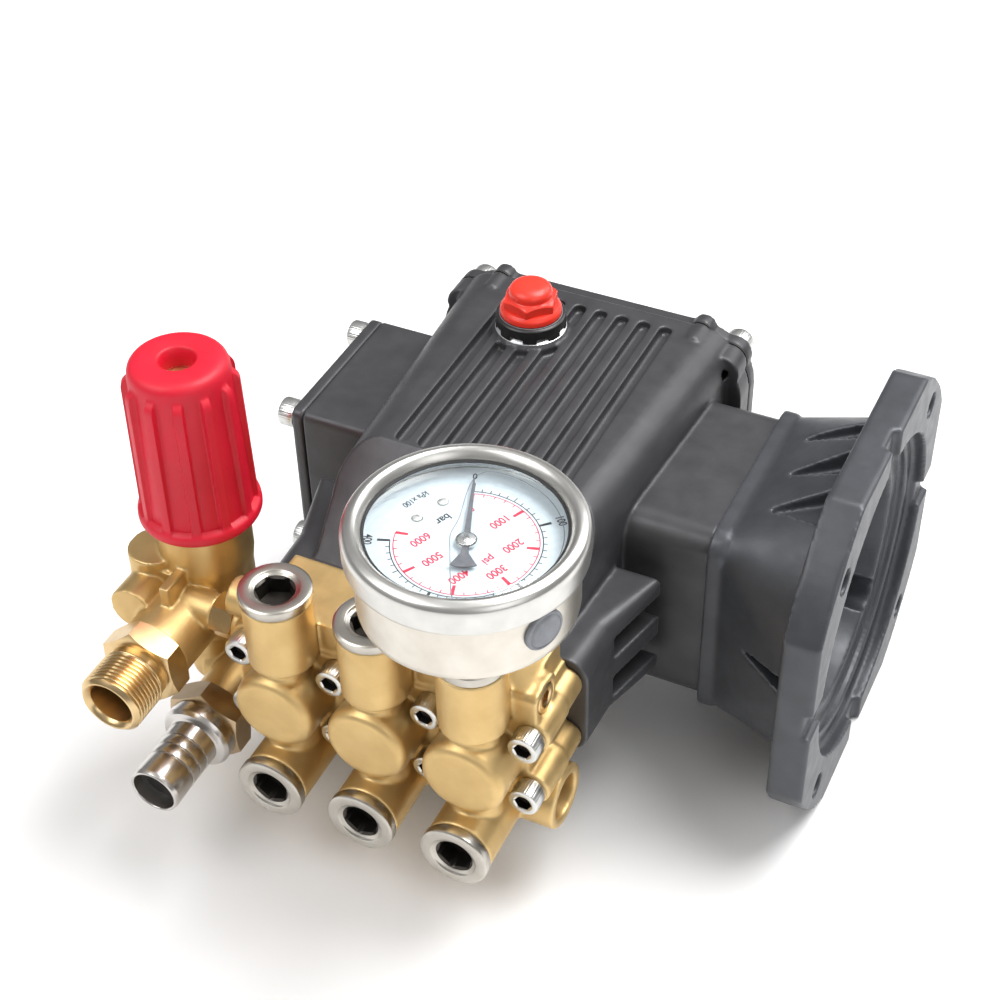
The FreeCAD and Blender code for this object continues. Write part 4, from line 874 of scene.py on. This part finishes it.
def make_dial():
    low, high, middle = box_mm("gauge_dial")
    radius = high[0] - middle[0]
    thick = high[2] - low[2]
    outline = [(1.4, 0), (radius, 0), (radius, thick - 0.05), (radius - 0.05, thick), (1.4, thick)]
    dial = merged("dial_face", [polar(outline, (middle[0], middle[1], low[2]), (0, 0, 1), 96, True)])
    finish_piece(dial, "root", DIAL_WHITE, ["gauge_dial"])
    make_bar_print()
    make_psi_print()
    heads = []
    for r, angle in ((17.3, 137.3), (16.5, 168.7)):
        x, y, z = on_dial(r, angle)
        heads.append(polar([(0, 0.32), (0.55, 0.32), (0.6, 0.55), (1.35, 0.5), (1.55, 0.2),
                            (1.6, 0.0)], (x, y, z), (0, 0, 1), 32))
    finish_piece(merged("dial_screws", heads), "root", ZINC)


def make_pointer():
    """Tapered hand with a flag counterweight and a turned hub."""
    _, high, middle = box_mm("gauge_dial")
    dial_z = high[2]
    hand = [(24.6, 0.0), (23.0, 0.32), (3.0, 0.85), (0.0, 1.3), (-3.0, 0.95), (-5.2, 1.1),
            (-6.8, 2.0), (-9.6, 3.6), (-10.2, 2.2), (-10.4, 0.0)]
    rim = hand + [(a, -b) for a, b in hand[-2:0:-1]]
    bm = bmesh.new()
    low_ring = [bm.verts.new((a * MM, b * MM, 0)) for a, b in rim]
    high_ring = [bm.verts.new((a * MM, b * MM, 0.45 * MM)) for a, b in rim]
    bm.faces.new(low_ring)
    bm.faces.new(high_ring)
    for k in range(len(rim)):
        m = (k + 1) % len(rim)
        bm.faces.new((low_ring[k], low_ring[m], high_ring[m], high_ring[k]))
    mesh = bpy.data.meshes.new("hand")
    bm.to_mesh(mesh)
    bm.free()
    mesh.transform(Matrix.Translation(Vector((middle[0], middle[1], dial_z + 1.7)) * MM)
                   @ Matrix.Rotation(math.radians(ZERO_ANGLE), 4, "Z"))
    obj = merged("pointer_hand", [mesh])
    finish_piece(obj, "pointer", POINTER_GREY, ["gauge_pointer"])
    outline = [(0, -2.0), (1.2, -2.0), (1.2, 0.9), (2.7, 1.0), (2.9, 1.3), (2.9, 2.3), (2.5, 2.7),
               (0.9, 2.8), (0.7, 3.0), (0, 3.05)]
    hub = merged("pointer_hub", [polar(eased(outline, 0.1, 2), (middle[0], middle[1], dial_z),
                                       (0, 0, 1), 64)])
    finish_piece(hub, "pointer", STAINLESS)


def make_gauge_body():
    low, high, middle = box_mm("gauge_case")
    r = high[0] - middle[0]
    floor_z = high[2] - 23.5
    rim = high[2] - floor_z
    shell = [(0, 0), (r - 4.2, 0), (r - 1.6, 0.5), (r - 0.45, 1.7), (r, 3.6), (r, rim - 3.2),
             (r - 0.15, rim - 3.0), (r - 0.15, rim), (r - 1.2, rim), (r - 1.2, 2.0), (0, 2.0)]
    place = (middle[0], middle[1], floor_z)
    meshes = [polar(eased(shell, [0] + [0.5] * 4 + [0.1] * 5 + [0], 3), place, (0, 0, 1), 160)]
    stem_low = low[2]
    shank = 4.95
    hexagon_z = stem_low + 9.1
    meshes.append(polar([(0, 0), (shank, 0), (shank, 9.4), (0, 9.4)],
                        (middle[0], middle[1], stem_low), (0, 0, 1), 48))
    meshes.append(polar(nut_rings(14.0, floor_z - hexagon_z + 0.3, 3.0, 6.9),
                        (middle[0], middle[1], hexagon_z), (0, 0, 1), 96, True, 14.0))
    obj = merged("gauge_shell", meshes)
    finish_piece(obj, "root", CASE_STEEL, ["gauge_case"])


def make_bezel():
    """Crimped satin ring: a rounded shoulder that falls into the glass, and a dark seal."""
    low, high, middle = box_mm("gauge_bezel")
    r = high[0] - middle[0]
    top = high[2] - low[2]
    seat = box_mm("gauge_case")[1][0] - middle[0] + 0.05
    outline = [(seat, 0.2), (seat + 0.6, 0), (r - 1.0, 0.0), (r - 0.2, 0.5), (r, 1.4),
               (r, top - 3.4), (r - 0.25, top - 2.0), (r - 1.1, top - 0.8), (r - 2.6, top - 0.1),
               (r - 3.4, top), (r - 4.4, top - 0.5), (r - 5.3, top - 1.6), (28.4, top - 2.6),
               (28.3, top - 3.3), (seat, top - 3.3)]
    place = (middle[0], middle[1], low[2])
    obj = merged("bezel_ring", [polar(closed_eased(outline, 0.5, 3), place, (0, 0, 1), 192, True)])
    finish_piece(obj, "root", BEZEL_STEEL, ["gauge_bezel"])
    seal = [(27.6, -0.15), (28.6, -0.15), (28.6, 0.35), (28.2, 0.6), (27.6, 0.2)]
    rubber_ring = merged("glass_seal", [polar(seal, (middle[0], middle[1], high[2] - 3.3),
                                              (0, 0, 1), 128, True)])
    finish_piece(rubber_ring, "root", BLACK_RUBBER)


def make_glass():
    """Window together with the clear glycerine under it."""
    low, high, middle = box_mm("gauge_glass")
    dial_top = box_mm("gauge_dial")[1][2]
    deep = dial_top + 0.3
    r = high[0] - middle[0] - 1.35
    tall = high[2] - deep
    outline = [(0, 0), (r, 0), (r, low[2] - deep), (r + 0.9, low[2] - deep + 0.1),
               (r + 0.9, tall - 0.1), (r + 0.7, tall), (0, tall)]
    obj = merged("window_and_glycerine", [polar(outline, (middle[0], middle[1], deep), (0, 0, 1),
                                                128)])
    finish_piece(obj, "root", GLASS, ["gauge_glass"])


def make_bubble():
    """Edge of the air bubble under the window: a bent line beside the pointer and along the rim."""
    low, _, middle = box_mm("gauge_glass")
    corners = [(26.6, 108), (20.0, 114), (12.0, 120), (6.5, 132), (4.4, 165), (4.4, 205),
               (5.6, 245), (9.0, 268), (15.0, 280), (21.0, 285), (26.0, 288), (27.4, 300),
               (27.4, 330), (27.4, 360), (27.4, 390), (27.4, 420), (27.2, 450)]
    path = [Vector((middle[0] + r * math.cos(math.radians(a)),
                    middle[1] + r * math.sin(math.radians(a)), low[2] - 1.2)) for r, a in corners]
    curve = bpy.data.curves.new("bubble", "CURVE")
    curve.dimensions = "3D"
    curve.bevel_depth = 0.13 * MM
    curve.bevel_resolution = 2
    line = curve.splines.new("NURBS")
    line.points.add(len(path) - 1)
    for point, place in zip(line.points, path):
        point.co = (*(place * MM), 1)
    line.use_cyclic_u = True
    line.resolution_u = 12
    holder = new_object("bubble", curve)
    bpy.context.view_layer.update()
    graph = bpy.context.evaluated_depsgraph_get()
    mesh = bpy.data.meshes.new_from_object(holder.evaluated_get(graph))
    bpy.data.objects.remove(holder)
    mesh.materials.clear()
    obj = merged("bubble_edge", [mesh])
    finish_piece(obj, "root", BUBBLE_EDGE)


def make_fill_plug():
    middle = box_mm("gauge_fill_plug")[2]
    axis = (math.cos(math.radians(DIAL_UP)), math.sin(math.radians(DIAL_UP)), 0)
    _, case_high, case_middle = box_mm("gauge_case")
    r = case_high[0] - case_middle[0]
    place = (case_middle[0] + axis[0] * r, case_middle[1] + axis[1] * r, middle[2])
    outline = [(5.4, -1.4), (5.4, -0.6), (6.35, -0.5), (6.35, 0.45), (6.0, 0.85), (5.5, 0.9),
               (5.25, 0.65), (5.0, 0.75), (4.4, 1.35), (2.8, 1.75), (0, 1.85)]
    obj = merged("fill_plug", [polar(eased(outline, 0.2, 2), place, axis, 72)])
    finish_piece(obj, "root", GREY_RUBBER, ["gauge_fill_plug"])


def make_adaptor():
    low, high, middle = box_mm("gauge_adaptor")
    seat = low[2] + 9.0
    flange = [(0, -9.0), (8.9, -9.0), (8.9, 0), (10.3, 0.05), (10.4, 0.3), (10.4, 3.2),
              (10.1, 3.6), (9.5, 4.0), (0, 4.1)]
    place = (middle[0], middle[1], seat)
    nut = nut_rings(17.0, high[2] - seat - 4.0, 5.05, 8.4)
    obj = merged("adaptor_turned", [polar(eased(flange, 0.15, 2), place, (0, 0, 1), 96),
                                    polar(nut, (middle[0], middle[1], seat + 4.0), (0, 0, 1), 96,
                                          True, 10.0)])
    finish_piece(obj, "root", NICKEL, ["gauge_adaptor"])


# ---------------------------------------------------------------- oil cap and plugs
SKIRT_LENGTH = 14.0          # of the oil cap, below its flange


def make_oil_cap():
    low, _, middle = box_mm("oil_filler_cap")
    base = low[2] + SKIRT_LENGTH
    place = (middle[0], middle[1], base)
    skirt = [(7.2, -SKIRT_LENGTH), (7.2, 0.0), (10.3, 0.0), (10.6, 0.3), (10.6, 1.7), (10.3, 2.3),
             (9.4, 3.1), (8.2, 3.3)]
    side = hexed(17.0, 9.7)

    def brim(drop):
        def height(angles):
            return 6.9 - drop - np.maximum(side(angles) - 8.6, 0) * 0.7
        return height

    def inset(amount):
        def radius(angles):
            return side(angles) - amount
        return radius

    body = skirt + [(side, 3.2), (side, brim(0.5)), (inset(0.25), brim(0.12)),
                    (inset(0.8), brim(0.0)), (7.7, 6.95), (7.45, 7.2), (7.45, 8.4), (7.25, 9.2),
                    (6.7, 10.0), (5.6, 10.7), (4.2, 11.1), (2.2, 11.28), (0, 11.3)]
    obj = merged("oil_cap_orange", [polar([(0, -SKIRT_LENGTH)] + body, place, (0, 0, 1), 144, turn=15.0)])
    shade(obj.data, 28)
    finish_piece(obj, "oil_cap", ORANGE_PLASTIC, ["oil_filler_cap"])
    ring = [(10.7, 0.05), (10.95, 0.05), (11.0, -0.55), (8.5, -0.55)]
    washer = merged("oil_cap_washer", [polar(ring, place, (0, 0, 1), 72)])
    finish_piece(washer, "oil_cap", GREY_RUBBER)


def make_oil_collar():
    """Collar with a castellated foot on a bright machined seat."""
    low, high, middle = box_mm("oil_filler_collar")
    r = high[0] - middle[0]

    def toothed(angles):
        pitch = TAU / 8
        off = np.abs((angles + pitch / 2) % pitch - pitch / 2)
        return np.where(off < 0.17, r - 1.3, r)

    outline = [(8.2, 0.2), (8.4, 0), (toothed, 0.0), (toothed, 1.7), (r, 1.9), (r - 0.1, 4.9),
               (r - 0.5, 5.35), (r - 1.1, 5.5), (8.5, 5.5), (8.2, 5.3)]
    place = (middle[0], middle[1], low[2])
    obj = merged("oil_collar_black", [polar(outline, place, (0, 0, 1), 192, True)])
    finish_piece(obj, "root", BLACK_PLASTIC, ["oil_filler_collar"])
    seat = [(r - 2.5, -0.3), (r + 0.15, -0.3), (r + 0.2, -0.1), (r - 0.1, 0.06), (r - 1.2, 0.9),
            (r - 2.5, 0.9)]
    bright = merged("oil_seat_bright", [polar(seat, place, (0, 0, 1), 96, True)])
    finish_piece(bright, "root", BARE_ALLOY)


def make_end_plug():
    _, high, middle = box_mm("end_plug")
    r = high[2] - middle[2]
    hexagon = hexed(5.0)
    outline = [(0, -8.0), (r, -8.0), (r, -0.35), (r - 0.4, 0.0), (3.4, 0.0), (3.0, -0.2),
               (hexagon, -0.45), (hexagon, -3.6), (0, -4.0)]
    plug = merged("end_plug_turned", [polar(outline, (high[0], middle[1], middle[2]), (1, 0, 0), 72)])
    finish_piece(plug, "root", BRASS_TURNED, ["end_plug"])


def make_drain_plug():
    """Hexagon plug on a washer, with a small drilled centre."""
    washer_thick, head_thick = 1.5, 6.0
    low, high, middle = box_mm("drain_plug")
    shank = high[1] - low[1] - washer_thick - head_thick
    place = (middle[0], low[1] + shank, middle[2])
    washer = [(5.0, -shank), (5.0, 0), (7.7, 0), (8.0, 0.3), (8.0, 1.2),
              (7.7, washer_thick), (5.5, washer_thick)]
    head = nut_rings(13.0, head_thick, 2.2, 6.3)
    head_place = (middle[0], place[1] + washer_thick, middle[2])
    drain = merged("drain_plug_zinc", [
        polar([(0, -shank)] + washer, place, (0, 1, 0), 72),
        polar(head, head_place, (0, 1, 0), 72, True),
        polar([(2.25, 5.7), (2.2, 3.5), (0, 3.2)], head_place, (0, 1, 0), 72)])
    finish_piece(drain, "root", ZINC, ["drain_plug"])


def make_sight_glass():
    """Black ring in the rear cover with an amber lens."""
    low, high, middle = box_mm("sight_glass")
    place = (middle[0], low[1], middle[2])
    full = high[1] - low[1]
    ring = [(7.6, full - 4.0), (7.6, full - 0.9), (8.1, full - 0.2), (8.9, full), (10.6, full),
            (11.3, full - 0.3), (11.9, full - 2.0), (12.0, full - 3.4), (9.0, full - 3.5), (9.0, 0.0),
            (7.6, 0.0)]
    obj = merged("sight_ring", [polar(closed_eased(ring, 0.25, 2), place, (0, 1, 0), 96, True)])
    finish_piece(obj, "root", BLACK_PLASTIC, ["sight_glass"])
    lens = merged("sight_lens", [polar([(7.6, full - 1.6), (5.0, full - 1.2), (2.0, full - 1.0),
                                        (0, full - 0.98)], place, (0, 1, 0), 72)])
    finish_piece(lens, "root", OIL_AMBER)


# ---------------------------------------------------------------- dress the CAD nodes that stay
def dress_frame():
    """Every CAD node gets the material of its slot."""
    slots = {row["node"]: row["material_slot"] for row in frame["record"]["subparts"]}
    for name, obj in frame["nodes"].items():
        obj.data.materials.clear()
        obj.data.materials.append(SLOT_MATERIAL[slots[name]])


set_camera()
set_world()
set_lights()
add_floor()
dress_frame()
make_castings()
make_knob()
make_outlet()
make_barb()
make_nuts()
make_caps()
make_all_screws()
make_gauge_body()
make_bezel()
make_dial()
make_pointer()
make_glass()
make_bubble()
make_fill_plug()
make_adaptor()
make_oil_cap()
make_oil_collar()
make_end_plug()
make_drain_plug()
make_sight_glass()
